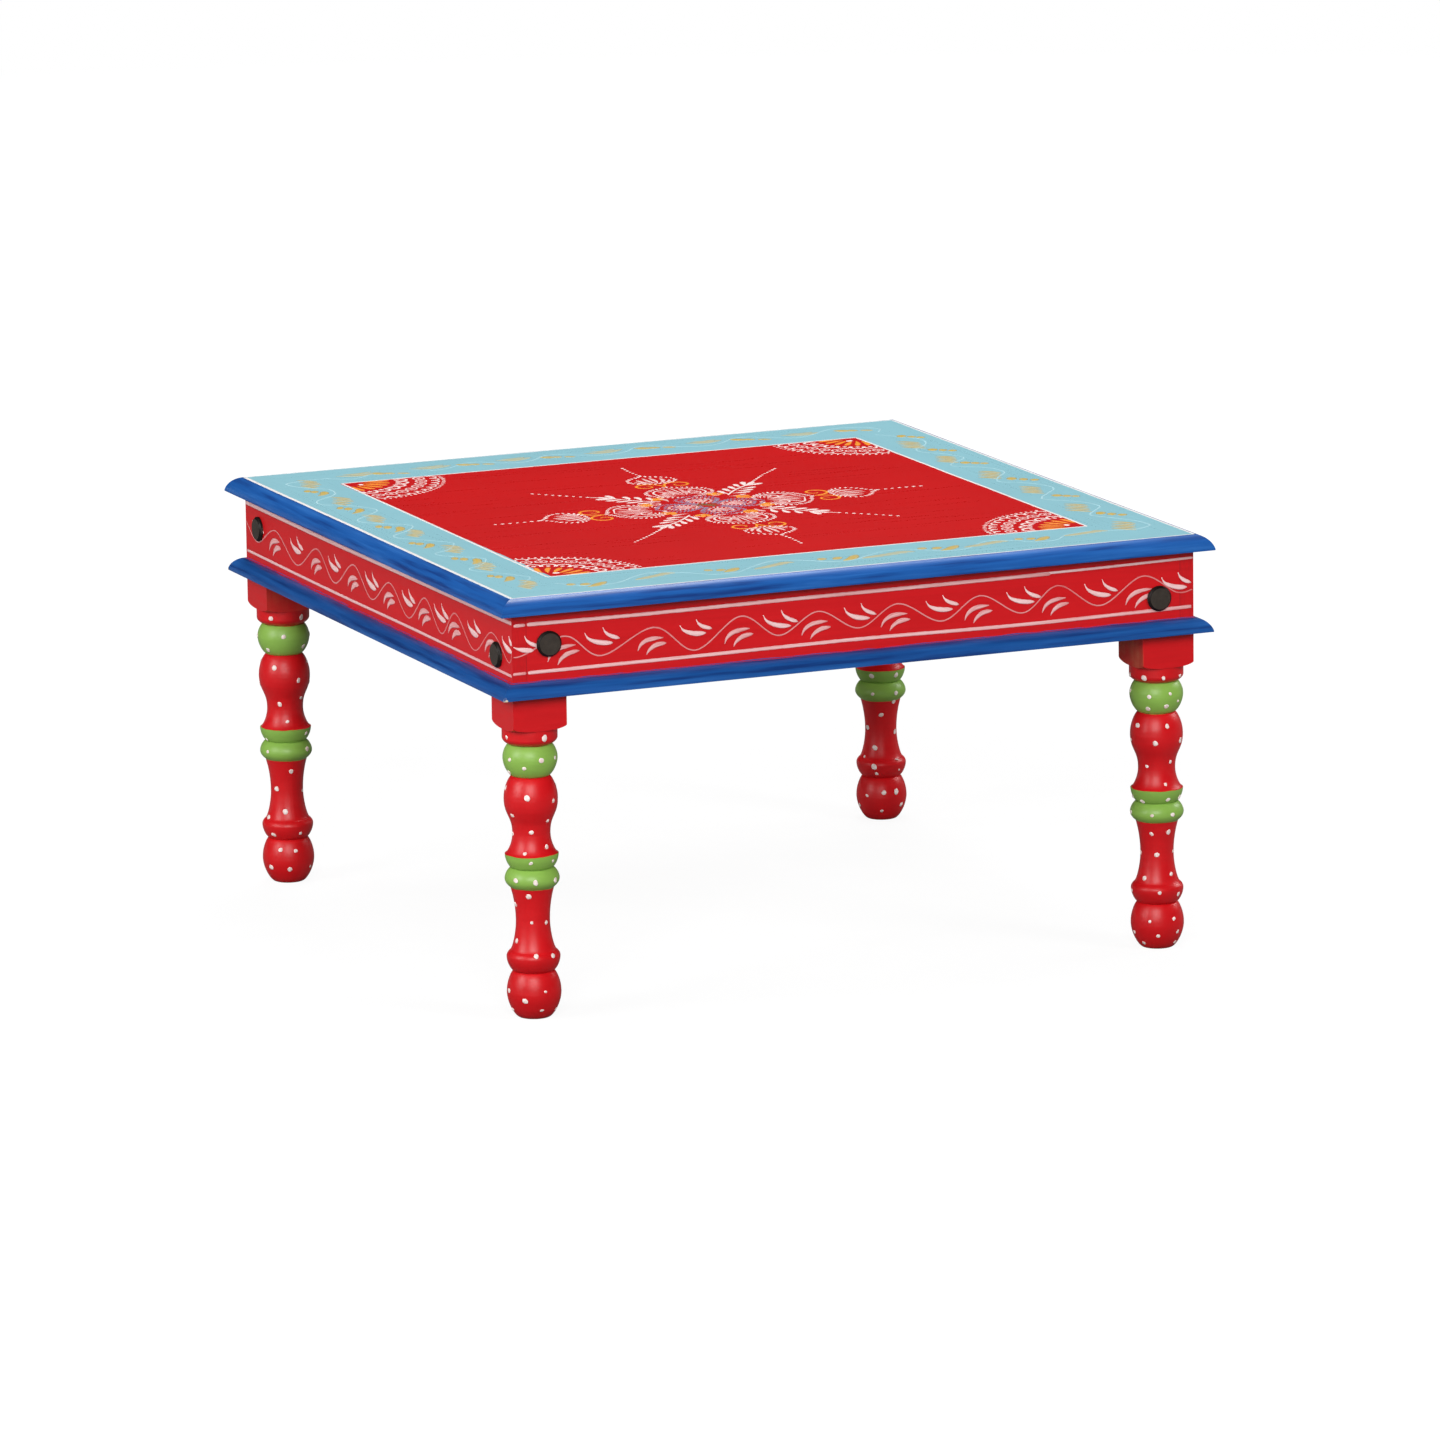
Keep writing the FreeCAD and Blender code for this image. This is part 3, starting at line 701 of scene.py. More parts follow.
def random_value(tree, low, high, seed, offset):
    """A random number for each point; the offset keeps one use of the seed apart from the others."""
    seed = maths(tree, "ADD", seed, float(offset))
    return out(add_node(tree, "FunctionNodeRandomValue", {"Min": low, "Max": high, "Seed": seed},
                        data_type="FLOAT"))


def make_ornament_tree():
    """Copies motifs to their anchors and turns their lines into brush strokes and chains of dabs."""
    tree, inputs, leave = new_group("Brushed Ornament", "GeometryNodeTree", [
        ("INPUT", "Geometry", "Anchors", None),
        ("INPUT", "Collection", "Motifs", None),
        ("INPUT", "Float", "Paint Height", 0.11),
        ("INPUT", "Float", "Hand Wobble", 0.0009),
        ("INPUT", "Float", "Looseness", 0.07),
        ("INPUT", "Int", "Seed", 7),
        ("INPUT", "Float", "Face Half", 1.0),
        ("INPUT", "Vector", "Face Place", (0.0, 0.0, 0.0)),
        ("INPUT", "Vector", "Face Turn", (0.0, 0.0, 0.0)),
        ("INPUT", "Material", "Paint", None),
        ("OUTPUT", "Geometry", "Ornament", None),
    ])
    seed = inputs["Seed"]
    loose = maths(tree, "MULTIPLY", inputs["Looseness"], attribute(tree, "loose"))
    tighter = maths(tree, "MULTIPLY", loose, -1.0)
    turn = maths(tree, "ADD", attribute(tree, "turn"), random_value(tree, tighter, loose, seed, 1))
    size = maths(tree, "ADD", 1.0, random_value(tree, tighter, loose, seed, 2))
    motifs = add_node(tree, "GeometryNodeCollectionInfo", {
        "Collection": inputs["Motifs"], "Separate Children": True, "Reset Children": True})
    laid = add_node(tree, "GeometryNodeInstanceOnPoints", {
        "Points": inputs["Anchors"], "Instance": out(motifs), "Pick Instance": True,
        "Instance Index": attribute(tree, "motif", "INT"),
        "Rotation": rotation(tree, combine(tree, Z=turn)),
        "Scale": vectors(tree, "SCALE", attribute(tree, "stretch", "FLOAT_VECTOR"), scale=size)})
    drawn = out(add_node(tree, "GeometryNodeRealizeInstances", {"Geometry": out(laid)}))
    seed_shift = combine(tree, Z=maths(tree, "MULTIPLY", seed, 1.7))
    sway_place = vectors(tree, "ADD", vectors(tree, "SCALE", position(tree), scale=42.0), seed_shift)
    sway = add_node(tree, "ShaderNodeTexNoise", {"Vector": sway_place, "Scale": 1.0, "Detail": 1.0})
    swing = vectors(tree, "SUBTRACT", sway.outputs["Color"], (0.5, 0.5, 0.5))
    swing = vectors(tree, "MULTIPLY", swing, (2.0, 2.0, 0.0))
    wobbled = add_node(tree, "GeometryNodeSetPosition", {
        "Geometry": drawn, "Offset": vectors(tree, "SCALE", swing, scale=inputs["Hand Wobble"])})
    lines = add_node(tree, "GeometryNodeMeshToCurve", {"Mesh": out(wobbled)})
    lines = add_node(tree, "GeometryNodeCurveSplineType", {"Curve": out(lines)}, spline_type="CATMULL_ROM")
    lines = add_node(tree, "GeometryNodeSetSplineResolution", {"Geometry": out(lines), "Resolution": 12})
    kinds = add_node(tree, "GeometryNodeSeparateGeometry", {
        "Geometry": out(lines), "Selection": maths(tree, "GREATER_THAN", attribute(tree, "gap"), 0.00001)},
        domain="CURVE")
    dab_lines = kinds.outputs["Selection"]
    stroke_lines = kinds.outputs["Inverted"]

    # Strokes: a flat oval swept along each line, thick and thin as the brush was pressed.
    length = out(add_node(tree, "GeometryNodeSplineLength"), "Length")
    count = maths(tree, "DIVIDE", length, STROKE_STEP)
    count = maths(tree, "MINIMUM", maths(tree, "MAXIMUM", count, 9.0), 420.0)
    stroke_lines = out(add_node(tree, "GeometryNodeResampleCurve", {"Curve": stroke_lines, "Count": count},
                                mode="COUNT"))
    along = out(add_node(tree, "GeometryNodeSplineParameter"), "Factor")
    stroke_lines = store(tree, stroke_lines, "along", along)
    reach = maths(tree, "ABSOLUTE", split(tree, position(tree))["X"])
    stroke_lines = out(add_node(tree, "GeometryNodeDeleteGeometry", {
        "Geometry": stroke_lines, "Selection": maths(tree, "GREATER_THAN", reach, inputs["Face Half"])},
        domain="POINT"))
    left_over = out(add_node(tree, "GeometryNodeSplineLength"), "Point Count")
    stroke_lines = out(add_node(tree, "GeometryNodeDeleteGeometry", {
        "Geometry": stroke_lines, "Selection": maths(tree, "LESS_THAN", left_over, 2.5)}, domain="CURVE"))
    stroke_lines = out(add_node(tree, "GeometryNodeSetCurveNormal", {"Curve": stroke_lines}, mode="Z_UP"))
    press_in = maths(tree, "POWER", along, attribute(tree, "taper_in"))
    press_out = maths(tree, "POWER", maths(tree, "SUBTRACT", 1.0, along), attribute(tree, "taper_out"))
    press = maths(tree, "MULTIPLY", maths(tree, "MULTIPLY", press_in, press_out),
                  attribute(tree, "half_width"))
    tremble = noise(tree, vectors(tree, "SCALE", position(tree), scale=260.0), 1.0, 1.0)
    press = maths(tree, "MULTIPLY", press, maths(tree, "MULTIPLY_ADD", tremble, 0.4, 0.8))
    press = maths(tree, "MAXIMUM", press,
                  maths(tree, "MULTIPLY", attribute(tree, "half_width"), attribute(tree, "blunt")))
    ring = out(add_node(tree, "GeometryNodeCurvePrimitiveCircle", {"Resolution": 8, "Radius": 1.0}))
    ring = store(tree, ring, "across", split(tree, position(tree))["X"])
    flat = combine(tree, X=1.0, Y=inputs["Paint Height"], Z=1.0)
    ring = out(add_node(tree, "GeometryNodeTransform", {"Geometry": ring, "Scale": flat}))
    strokes = add_node(tree, "GeometryNodeCurveToMesh", {
        "Curve": stroke_lines, "Profile Curve": ring, "Scale": press, "Fill Caps": True})

    # Dabs: a low dome at every step along each line, turned with it.
    beads = out(add_node(tree, "GeometryNodeResampleCurve",
                         {"Curve": dab_lines, "Length": attribute(tree, "gap")}, mode="LENGTH"))
    tangent = split(tree, out(add_node(tree, "GeometryNodeInputTangent")))
    heading = maths(tree, "ARCTAN2", tangent["Y"], tangent["X"])
    heading = maths(tree, "ADD", heading, attribute(tree, "slant"))
    heading = maths(tree, "ADD", heading, random_value(tree, -0.25, 0.25, seed, 3))
    dome = add_node(tree, "GeometryNodeMeshUVSphere", {"Segments": 8, "Rings": 4, "Radius": 1.0})
    dome_parts = split(tree, position(tree))
    dome = store(tree, dome.outputs["Mesh"], "along", maths(tree, "MULTIPLY_ADD", dome_parts["X"], 0.3, 0.4))
    dome = store(tree, dome, "across", dome_parts["Y"])
    half_width = attribute(tree, "half_width")
    dab_height = maths(tree, "MULTIPLY", half_width, maths(tree, "MULTIPLY", inputs["Paint Height"], 1.8))
    dab_size = combine(tree, X=attribute(tree, "half_length"), Y=half_width, Z=dab_height)
    dabs = add_node(tree, "GeometryNodeInstanceOnPoints", {
        "Points": beads, "Instance": dome,
        "Rotation": rotation(tree, combine(tree, Z=heading)),
        "Scale": vectors(tree, "SCALE", dab_size, scale=random_value(tree, 0.82, 1.15, seed, 4))})
    dabs = out(add_node(tree, "GeometryNodeRealizeInstances", {"Geometry": out(dabs)}))

    both = add_node(tree, "GeometryNodeJoinGeometry")
    tree.links.new(dabs, both.inputs[0])
    tree.links.new(out(strokes), both.inputs[0])
    placed = add_node(tree, "GeometryNodeTransform", {
        "Geometry": out(both), "Translation": inputs["Face Place"],
        "Rotation": rotation(tree, inputs["Face Turn"])})
    smooth = add_node(tree, "GeometryNodeSetShadeSmooth", {"Geometry": out(placed)})
    real = add_node(tree, "GeometryNodeRealizeInstances", {"Geometry": out(smooth)})
    painted = add_node(tree, "GeometryNodeSetMaterial", {"Geometry": out(real), "Material": inputs["Paint"]})
    join(tree, leave, Ornament=out(painted))


def make_leg_dot_tree():
    """Drops dots of paint on a leg: each anchor lies beside the leg and looks at its axis."""
    tree, inputs, leave = new_group("Leg Dots", "GeometryNodeTree", [
        ("INPUT", "Geometry", "Anchors", None),
        ("INPUT", "Object", "Leg", None),
        ("INPUT", "Vector", "Axis", (0.0, 0.0, 0.0)),
        ("INPUT", "Float", "Dot Width", 0.0036),
        ("INPUT", "Float", "Dot Height", 0.0004),
        ("INPUT", "Int", "Seed", 7),
        ("INPUT", "Material", "Paint", None),
        ("OUTPUT", "Geometry", "Dots", None),
    ])
    leg = add_node(tree, "GeometryNodeObjectInfo", {"Object": inputs["Leg"]})
    start = position(tree)
    level = combine(tree, Z=split(tree, start)["Z"])
    target = vectors(tree, "ADD", inputs["Axis"], level)
    ray = add_node(tree, "GeometryNodeRaycast", {
        "Target Geometry": leg.outputs["Geometry"], "Source Position": start,
        "Ray Direction": vectors(tree, "SUBTRACT", target, start), "Ray Length": 0.1}).outputs
    aimed = store(tree, inputs["Anchors"], "facing", ray["Hit Normal"], "FLOAT_VECTOR")
    landed = add_node(tree, "GeometryNodeSetPosition", {"Geometry": aimed, "Position": ray["Hit Position"]})
    half = maths(tree, "MULTIPLY", inputs["Dot Width"], 0.5)
    wide = maths(tree, "MULTIPLY", half, random_value(tree, 0.72, 1.22, inputs["Seed"], 1))
    tall = maths(tree, "MULTIPLY", wide, random_value(tree, 0.8, 1.3, inputs["Seed"], 2))
    size = combine(tree, X=wide, Y=tall, Z=inputs["Dot Height"])
    dome = add_node(tree, "GeometryNodeMeshUVSphere", {"Segments": 12, "Rings": 6, "Radius": 1.0})
    upright = add_node(tree, "FunctionNodeAlignRotationToVector", {
        "Vector": attribute(tree, "facing", "FLOAT_VECTOR")}, axis="Z")
    dots = add_node(tree, "GeometryNodeInstanceOnPoints", {
        "Points": out(landed), "Instance": dome.outputs["Mesh"], "Rotation": out(upright), "Scale": size})
    real = add_node(tree, "GeometryNodeRealizeInstances", {"Geometry": out(dots)})
    ripple = add_node(tree, "ShaderNodeTexNoise", {"Vector": position(tree), "Scale": 620.0, "Detail": 0.0})
    push = vectors(tree, "SUBTRACT", ripple.outputs["Color"], (0.5, 0.5, 0.5))
    uneven = add_node(tree, "GeometryNodeSetPosition", {
        "Geometry": out(real), "Offset": vectors(tree, "SCALE", push, scale=0.0009)})
    smooth = add_node(tree, "GeometryNodeSetShadeSmooth", {"Geometry": out(uneven)})
    painted = add_node(tree, "GeometryNodeSetMaterial",
                       {"Geometry": out(smooth), "Material": inputs["Paint"]})
    join(tree, leave, Dots=out(painted))


def set_modifier(modifier, **values):
    """Sets a Geometry Nodes modifier's inputs by the identifiers of their sockets."""
    sockets = {s.name: s.identifier for s in modifier.node_group.interface.items_tree
               if s.item_type == "SOCKET" and s.in_out == "INPUT"}
    for name, value in values.items():
        modifier[sockets[name.replace("_", " ")]] = value


def bake(helper, name):
    """Makes a plain mesh of a helper with a modifier, removes the helper, and hangs the mesh on the table."""
    bpy.context.view_layer.update()
    graph = bpy.context.evaluated_depsgraph_get()
    mesh = bpy.data.meshes.new_from_object(helper.evaluated_get(graph), preserve_all_data_layers=True,
                                           depsgraph=graph)
    if not mesh.polygons:
        raise RuntimeError("no paint was laid for " + name)
    mesh.name = name
    keep = {"position", "along", "across", "cover", "material_index", "sharp_face"}
    for extra in [a.name
                  for a in mesh.attributes if a.name not in keep and not a.is_internal and not a.is_required]:
        mesh.attributes.remove(mesh.attributes[extra])
    bpy.data.objects.remove(helper)
    piece = bpy.data.objects.new(name, mesh)
    bpy.context.scene.collection.objects.link(piece)
    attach(piece, "root")


# Lines that the brush follows, in millimetres on a flat face

LINE = (0.006, 0.006)
COMMA = (1.05, 0.38)
LEAF = (0.75, 0.6)
PETAL = (0.5, 0.5)


def stroke(points, width, taper=LEAF, cover=1.0, closed=False):
    """A brush stroke through the points; width is its greatest half width."""
    taper_in, taper_out = taper
    both = taper_in + taper_out
    peak = (taper_in / both) ** taper_in * (taper_out / both) ** taper_out
    return {"points": points, "closed": closed, "half_width": width / peak * MM, "taper_in": taper_in,
            "taper_out": taper_out, "blunt": 0.6 if taper == LINE else 0.06, "cover": cover, "gap": 0.0,
            "half_length": 0.0, "slant": 0.0}


def dabs(points, gap, half_length, half_width, slant=0.0, cover=1.0, closed=False):
    """A chain of dabs along the points; slant is each dab's turn from the line, in degrees."""
    return {"points": points, "closed": closed, "half_width": half_width * MM, "taper_in": 0.0,
            "taper_out": 0.0, "blunt": 0.0, "cover": cover, "gap": gap * MM,
            "half_length": half_length * MM, "slant": math.radians(slant)}


def compass(degrees):
    """Cosine and sine of an angle in degrees."""
    angle = math.radians(degrees)
    return math.cos(angle), math.sin(angle)


def mirrored(lines):
    """The same lines flipped across the first axis."""
    return [dict(line, points=[(x, -y) for x, y in line["points"]], slant=-line["slant"]) for line in lines]


def turned(lines, degrees):
    """The same lines turned about the middle."""
    c, s = compass(degrees)
    return [dict(line, points=[(c * x - s * y, s * x + c * y) for x, y in line["points"]]) for line in lines]


def arc(cx, cy, rx, ry, start, end, steps):
    """Points on an oval's arc, from one angle in degrees to another."""
    ways = [compass(start + (end - start) * k / steps) for k in range(steps + 1)]
    return [(cx + rx * c, cy + ry * s) for c, s in ways]


def oval(cx, cy, rx, ry):
    """Ten points round an oval, for a closed line."""
    return arc(cx, cy, rx, ry, 0, 324, 9)


def spiral(cx, cy, outer, inner, start, sweep, steps):
    """Points that wind from the outer to the inner radius."""
    points = []
    for k in range(steps + 1):
        share = k / steps
        radius = outer + (inner - outer) * share
        c, s = compass(start + sweep * share)
        points.append((cx + radius * c, cy + radius * s))
    return points


def set_attribute(mesh, name, kind, values):
    """Writes a value for every point of a mesh under that name."""
    field = "vector" if kind == "FLOAT_VECTOR" else "value"
    mesh.attributes.new(name, kind, "POINT").data.foreach_set(field, values)


def line_mesh(name, lines):
    """A mesh of bare edges through the lines' points, with each line's brush as attributes."""
    places = []
    edges = []
    brush = ("half_width", "taper_in", "taper_out", "blunt", "cover", "gap", "half_length", "slant")
    values = {key: [] for key in brush}
    for line in lines:
        first = len(places)
        places += [(x * MM, y * MM, 0.0) for x, y in line["points"]]
        edges += [(k, k + 1) for k in range(first, len(places) - 1)]
        if line["closed"]:
            edges.append((len(places) - 1, first))
        for key in values:
            values[key] += [line[key]] * len(line["points"])
    mesh = bpy.data.meshes.new(name)
    mesh.from_pydata(places, edges, [])
    for key, column in values.items():
        set_attribute(mesh, key, "FLOAT", column)
    return mesh


def anchor(motif, x=0, y=0, turn=0, along=1, across=1):
    """Where a motif stands on a face in millimetres, its turn in degrees and how far it is stretched."""
    return motif, x, y, turn, along, across


def lay_ornament(name, paint, motifs, anchors, face="top", wobble=1.0, loose=1.0, seed=0, relief=1.0):
    """Paints motifs at their anchors on one face of the table.

    motifs is a list of lists of lines; each anchor takes one of them by its number."""
    ornament = bpy.context.scene.bajot_ornament
    box = bpy.data.collections.new("motifs")
    bpy.context.scene.collection.children.link(box)
    for k, lines in enumerate(motifs):
        drawing = bpy.data.objects.new("motif_%02d" % k, line_mesh("motif", lines))
        box.objects.link(drawing)
    mesh = bpy.data.meshes.new("anchors")
    mesh.from_pydata([(a[1] * MM, a[2] * MM, 0.0) for a in anchors], [], [])
    set_attribute(mesh, "motif", "INT", [a[0] for a in anchors])
    set_attribute(mesh, "turn", "FLOAT", [math.radians(a[3]) for a in anchors])
    # A motif drawn about the middle of the face stays as it is.
    free = [0.0 if a[1] == 0 and a[2] == 0 else 1.0 for a in anchors]
    set_attribute(mesh, "loose", "FLOAT", free)
    stretch = [value for a in anchors for value in (a[4], a[5], 1.0)]
    set_attribute(mesh, "stretch", "FLOAT_VECTOR", stretch)
    helper = bpy.data.objects.new("anchors", mesh)
    bpy.context.scene.collection.objects.link(helper)
    if face == "top":
        face_half = TOP_REACH
        place = Vector((0.0, 0.0, TOP_HEIGHT))
        turn = Vector((0.0, 0.0, 0.0))
    else:
        face_half = APRON_FACE - 0.0004
        quarter = math.radians(90 * SIDES.index(face))
        place = Vector((math.sin(quarter), -math.cos(quarter), 0.0)) * APRON_FACE
        turn = Vector((math.radians(90), 0.0, quarter))
    modifier = helper.modifiers.new("Brushed Ornament", "NODES")
    modifier.node_group = bpy.data.node_groups["Brushed Ornament"]
    set_modifier(modifier, Motifs=box, Paint_Height=ornament.paint_height * relief,
                 Hand_Wobble=ornament.hand_wobble * wobble, Looseness=ornament.looseness * loose,
                 Seed=ornament.seed + seed, Face_Half=face_half, Face_Place=place, Face_Turn=turn,
                 Paint=paint)
    bake(helper, name)
    for drawing in list(box.objects):
        bpy.data.objects.remove(drawing)
    bpy.data.collections.remove(box)


def stroke_paint(name, paint, ground):
    """Brushed paint over a painted ground, which shows through where the paint is thin."""
    if name in bpy.data.materials:
        return bpy.data.materials[name]
    material, tree, shader, place = start_material(name)
    along, across, cover = (add_node(tree, "ShaderNodeAttribute", attribute_name=key).outputs["Fac"]
                            for key in ("along", "across", "cover"))
    load = use_group(tree, "Brush Load", Place=place, Along=along, Across=across, Cover=cover)
    skin = noise(tree, place, 900.0, 2.0)
    colour = mix_colours(tree, load["Mask"], tuple(ground), tuple(paint))
    rough = maths(tree, "MULTIPLY_ADD", load["Streaks"], 0.25, 0.30)
    height = maths(tree, "MULTIPLY_ADD", skin, 0.3, load["Streaks"])
    finish_material(tree, shader, colour, rough, height, 0.00008)
    return material


# The ornament itself

class BAJOT_OT_brush_pinstripes(bpy.types.Operator):
    """Brush the white lines round the red field and just inside the rounded edge"""
    bl_idname = "bajot.brush_pinstripes"
    bl_label = "Brush the Pinstripes"

    def execute(self, context):
        colours = context.scene.bajot_colours
        half = context.scene.bajot_ornament.pinstripe_width / MM / 2
        left, right, front, back = (edge / MM for edge in FIELD)
        corners = [(left - 2.2, front - 1.2), (right + 1.2, front - 1.2), (right + 1.2, back + 1.2),
                   (left + 0.4, back + 1.2)]
        edge = FLAT_EDGE / MM - 1.2
        outer = [(0.5 - edge, -edge), (edge, -edge), (edge, edge), (0.5 - edge, edge)]
        lines = []
        for square, widths in ((corners, (1.0, 1.0, 1.0, 1.0)), (outer, (0.85, 1.0, 0.95, 1.5))):
            for k in range(4):
                width = half * widths[k]
                start, end = square[k], square[(k + 1) % 4]
                points = [(start[0] + (end[0] - start[0]) * s / 14, start[1] + (end[1] - start[1]) * s / 14)
                          for s in range(15)]
                lines.append(stroke(points, width, LINE, 0.86))
        paint = stroke_paint("white_on_light_blue", colours.white, colours.light_blue)
        lay_ornament("pinstripes", paint, [lines], [anchor(0)], loose=0, wobble=0.8)
        return {"FINISHED"}


# Where the sprigs of three dabs and the fans of thin strokes start on the border of the top, in millimetres.
BORDER_SPRIGS = {
    "front": ((-225, -255), (-109, -251), (-13, -249), (74, -245), (157, -244)),
    "right": ((263, 212), (260, 143), (259, 77), (262, -6), (263, -90), (261, -175)),
    "back": ((-186, 252), (-109, 257), (-36, 257), (50, 259), (135, 260), (228, 258)),
    "left": ((-264, 205), (-267, 124), (-269, 35), (-271, -42), (-265, -117), (-267, -196)),
}
BORDER_FANS = {
    "front": ((-160, -256), (-62, -259), (33, -258), (120, -253), (207, -247)),
    "right": ((248, 180), (248, 106), (250, 27), (251, -50), (250, -136), (250, -222)),
    "back": ((-200, 256), (-136, 259), (-62, 262), (17, 260), (108, 264), (193, 260)),
    "left": ((-256, 230), (-260, 148), (-263, 65), (-258, -7), (-256, -83), (-261, -160), (-259, -243)),
}

# The vine that weaves between them, along the left and front border and back along the right and back one.
BORDER_VINES = (((-188, 255), (-211, 240), (-235, 252), (-264, 246), (-268, 236), (-259, 218),
                 (-246, 206), (-247, 187), (-256, 175), (-273, 160), (-274, 144), (-259, 134),
                 (-246, 113), (-245, 101), (-254, 89), (-272, 71), (-273, 58), (-262, 46), (-246, 31),
                 (-245, 22), (-256, 8), (-272, -6), (-272, -18), (-260, -32), (-244, -52), (-244, -62),
                 (-256, -80), (-270, -90), (-270, -100), (-258, -112), (-246, -126), (-246, -134),
                 (-256, -150), (-270, -160), (-270, -171), (-257, -187), (-244, -208), (-243, -217),
                 (-252, -229)),
                ((-234, -246), (-220, -262), (-207, -268), (-188, -264), (-168, -247), (-151, -240),
                 (-132, -249), (-112, -268), (-92, -268), (-74, -254), (-50, -239), (-30, -246),
                 (-10, -262), (8, -263), (26, -251), (48, -241), (68, -248), (86, -262), (104, -262),
                 (118, -250), (132, -240), (148, -246), (165, -260), (182, -260), (196, -246),
                 (213, -240), (227, -240)),
                ((227, -240), (250, -249), (264, -245), (274, -236), (272, -218), (264, -202),
                 (251, -180), (256, -168), (268, -155), (274, -144), (268, -122), (248, -101), (249, -90),
                 (262, -75), (273, -61), (274, -46), (263, -25), (248, -13), (254, 4), (268, 22),
                 (270, 36), (264, 51), (244, 69), (250, 82), (266, 96), (267, 106), (260, 123),
                 (248, 137), (249, 153), (264, 168), (271, 184), (270, 198), (258, 216), (247, 230)),
                ((-145, 246), (-134, 245), (-121, 251), (-105, 264), (-92, 264), (-77, 251), (-62, 246),
                 (-48, 252), (-34, 266), (-18, 265), (-2, 252), (15, 246), (32, 252), (48, 267),
                 (64, 266), (84, 252), (105, 247), (120, 254), (136, 268), (152, 267), (172, 251),
                 (188, 247), (202, 254), (218, 267), (235, 272), (249, 268), (258, 260), (261, 250),
                 (254, 240)))


def border_sprigs():
    """The dabs of a sprig, for each side."""
    return {
        "front": [stroke([(-3, -3), (3, 2.5)], 3.8, PETAL, 0.86),
                  stroke([(6, -7), (10, -4), (14, 0)], 3.8, PETAL, 0.88),
                  stroke([(9, -14), (16, -11), (22, -6), (28, 0)], 4.2, LEAF, 0.9)],
        "right": [stroke([(-2.4, -4), (2.4, 6)], 4.3, PETAL, 0.95),
                  stroke([(4.8, -10), (8, -1)], 3.8, PETAL, 0.92),
                  stroke([(10, -14), (15, -8)], 3.8, PETAL, 0.92)],
        "back": [stroke([(-5, 4), (1, 1), (8, -3)], 4.6, LEAF, 0.86),
                 stroke([(6, 1), (14, -5)], 3.6, PETAL, 0.84),
                 stroke([(16, -4), (26, -9)], 3.0, PETAL, 0.82)],
        "left": [stroke([(-1.8, -5), (1.8, 5)], 3.0, PETAL, 0.9),
                 stroke([(3, -11), (6.5, 0)], 3.5, PETAL, 0.9),
                 stroke([(13, -7), (11, -15), (8, -21), (2, -26)], 3.7, (0.45, 0.8), 0.92)],
    }


def border_fans():
    """The thin strokes of a fan, for each side."""
    front = [[(-16 + 7 * k, -4 + 3 * k), (-8 + 7 * k, -1.5 + 2.4 * k), (2 + 6.5 * k, -2 + 1.6 * k)]
             for k in range(5)]
    right = [[(1 - 2.2 * k, 10 - 6 * k), (8 - 2 * k, 5 - 6 * k), (15 - 2 * k, -3 - 6 * k)] for k in range(5)]
    left = [[(2 - 1.8 * k, 22 - 6 * k - gap), (7 - 2 * k, 18 - 6 * k), (13 - 2.4 * k + gap, 8 - 6 * k)]
            for k, gap in enumerate((0, 2, 3, 1, -1))]
    return {
        "front": [stroke(points, 3.2, LEAF, 0.62) for points in front],
        "right": [stroke(points, 2.3, LEAF, 0.86) for points in right],
        "back": [stroke([(-18, 1), (0, -4), (18, 3)], 3.8, LEAF, 0.6),
                 stroke([(-11, 5), (1, 2), (13, 7)], 3.4, LEAF, 0.56)],
        "left": [stroke(points, 2.5, LEAF, 0.74) for points in left],
    }


class BAJOT_OT_brush_border(bpy.types.Operator):
    """Brush the pale vine and the ochre sprigs on the light blue border of the top"""
    bl_idname = "bajot.brush_border"
    bl_label = "Brush the Border"

    def execute(self, context):
        colours = context.scene.bajot_colours
        paint = stroke_paint("thin_white_on_light_blue", colours.border_white, colours.light_blue)
        vine = [stroke(points, 0.8, LINE, 0.34) for points in BORDER_VINES]
        lay_ornament("border_vine", paint, [vine], [anchor(0)], loose=0)
        paint = stroke_paint("ochre_on_light_blue", colours.ochre, colours.light_blue)
        motifs = []
        anchors = []
        sprigs = border_sprigs()
        fans = border_fans()
        for side in SIDES:
            for drawn, places in ((sprigs[side], BORDER_SPRIGS[side]), (fans[side], BORDER_FANS[side])):
                anchors += [anchor(len(motifs), x, y) for x, y in places]
                motifs.append(drawn)
        lay_ornament("border_sprigs", paint, motifs, anchors, loose=1.8, relief=0.4)
        return {"FINISHED"}


# Turns of the vine along each apron, left to right as seen from outside, in millimetres: place and height.
VINE_TURNS = {"front": ((-286, 286), (-278, 287), (-243, 299), (-214, 281), (-170, 299), (-136, 278),
                        (-98, 301), (-66, 283), (-33, 299), (1, 283), (34, 299), (71, 282), (104, 299),
                        (140, 282), (170, 301), (206, 282), (243, 302), (272, 287), (286, 288)),
              "left": ((-286, 296), (-260, 283), (-219, 299), (-172, 279), (-126, 300), (-88, 279),
                       (-45, 301), (-7, 280), (33, 300), (72, 279), (108, 301), (141, 279), (171, 300),
                       (209, 278), (246, 298), (279, 281), (286, 289))}
VINE_TURNS["right"] = tuple((0.985 * u + 3, z - 0.5) for u, z in VINE_TURNS["left"][1:-1])
VINE_TURNS["back"] = tuple((0.98 * u - 2, z + 0.5) for u, z in VINE_TURNS["front"][1:-1])


# Leaves stand only on turns within this distance of the middle; turns below this height carry the upper pair.
LAST_LEAVES = 283
VINE_MIDDLE = 292

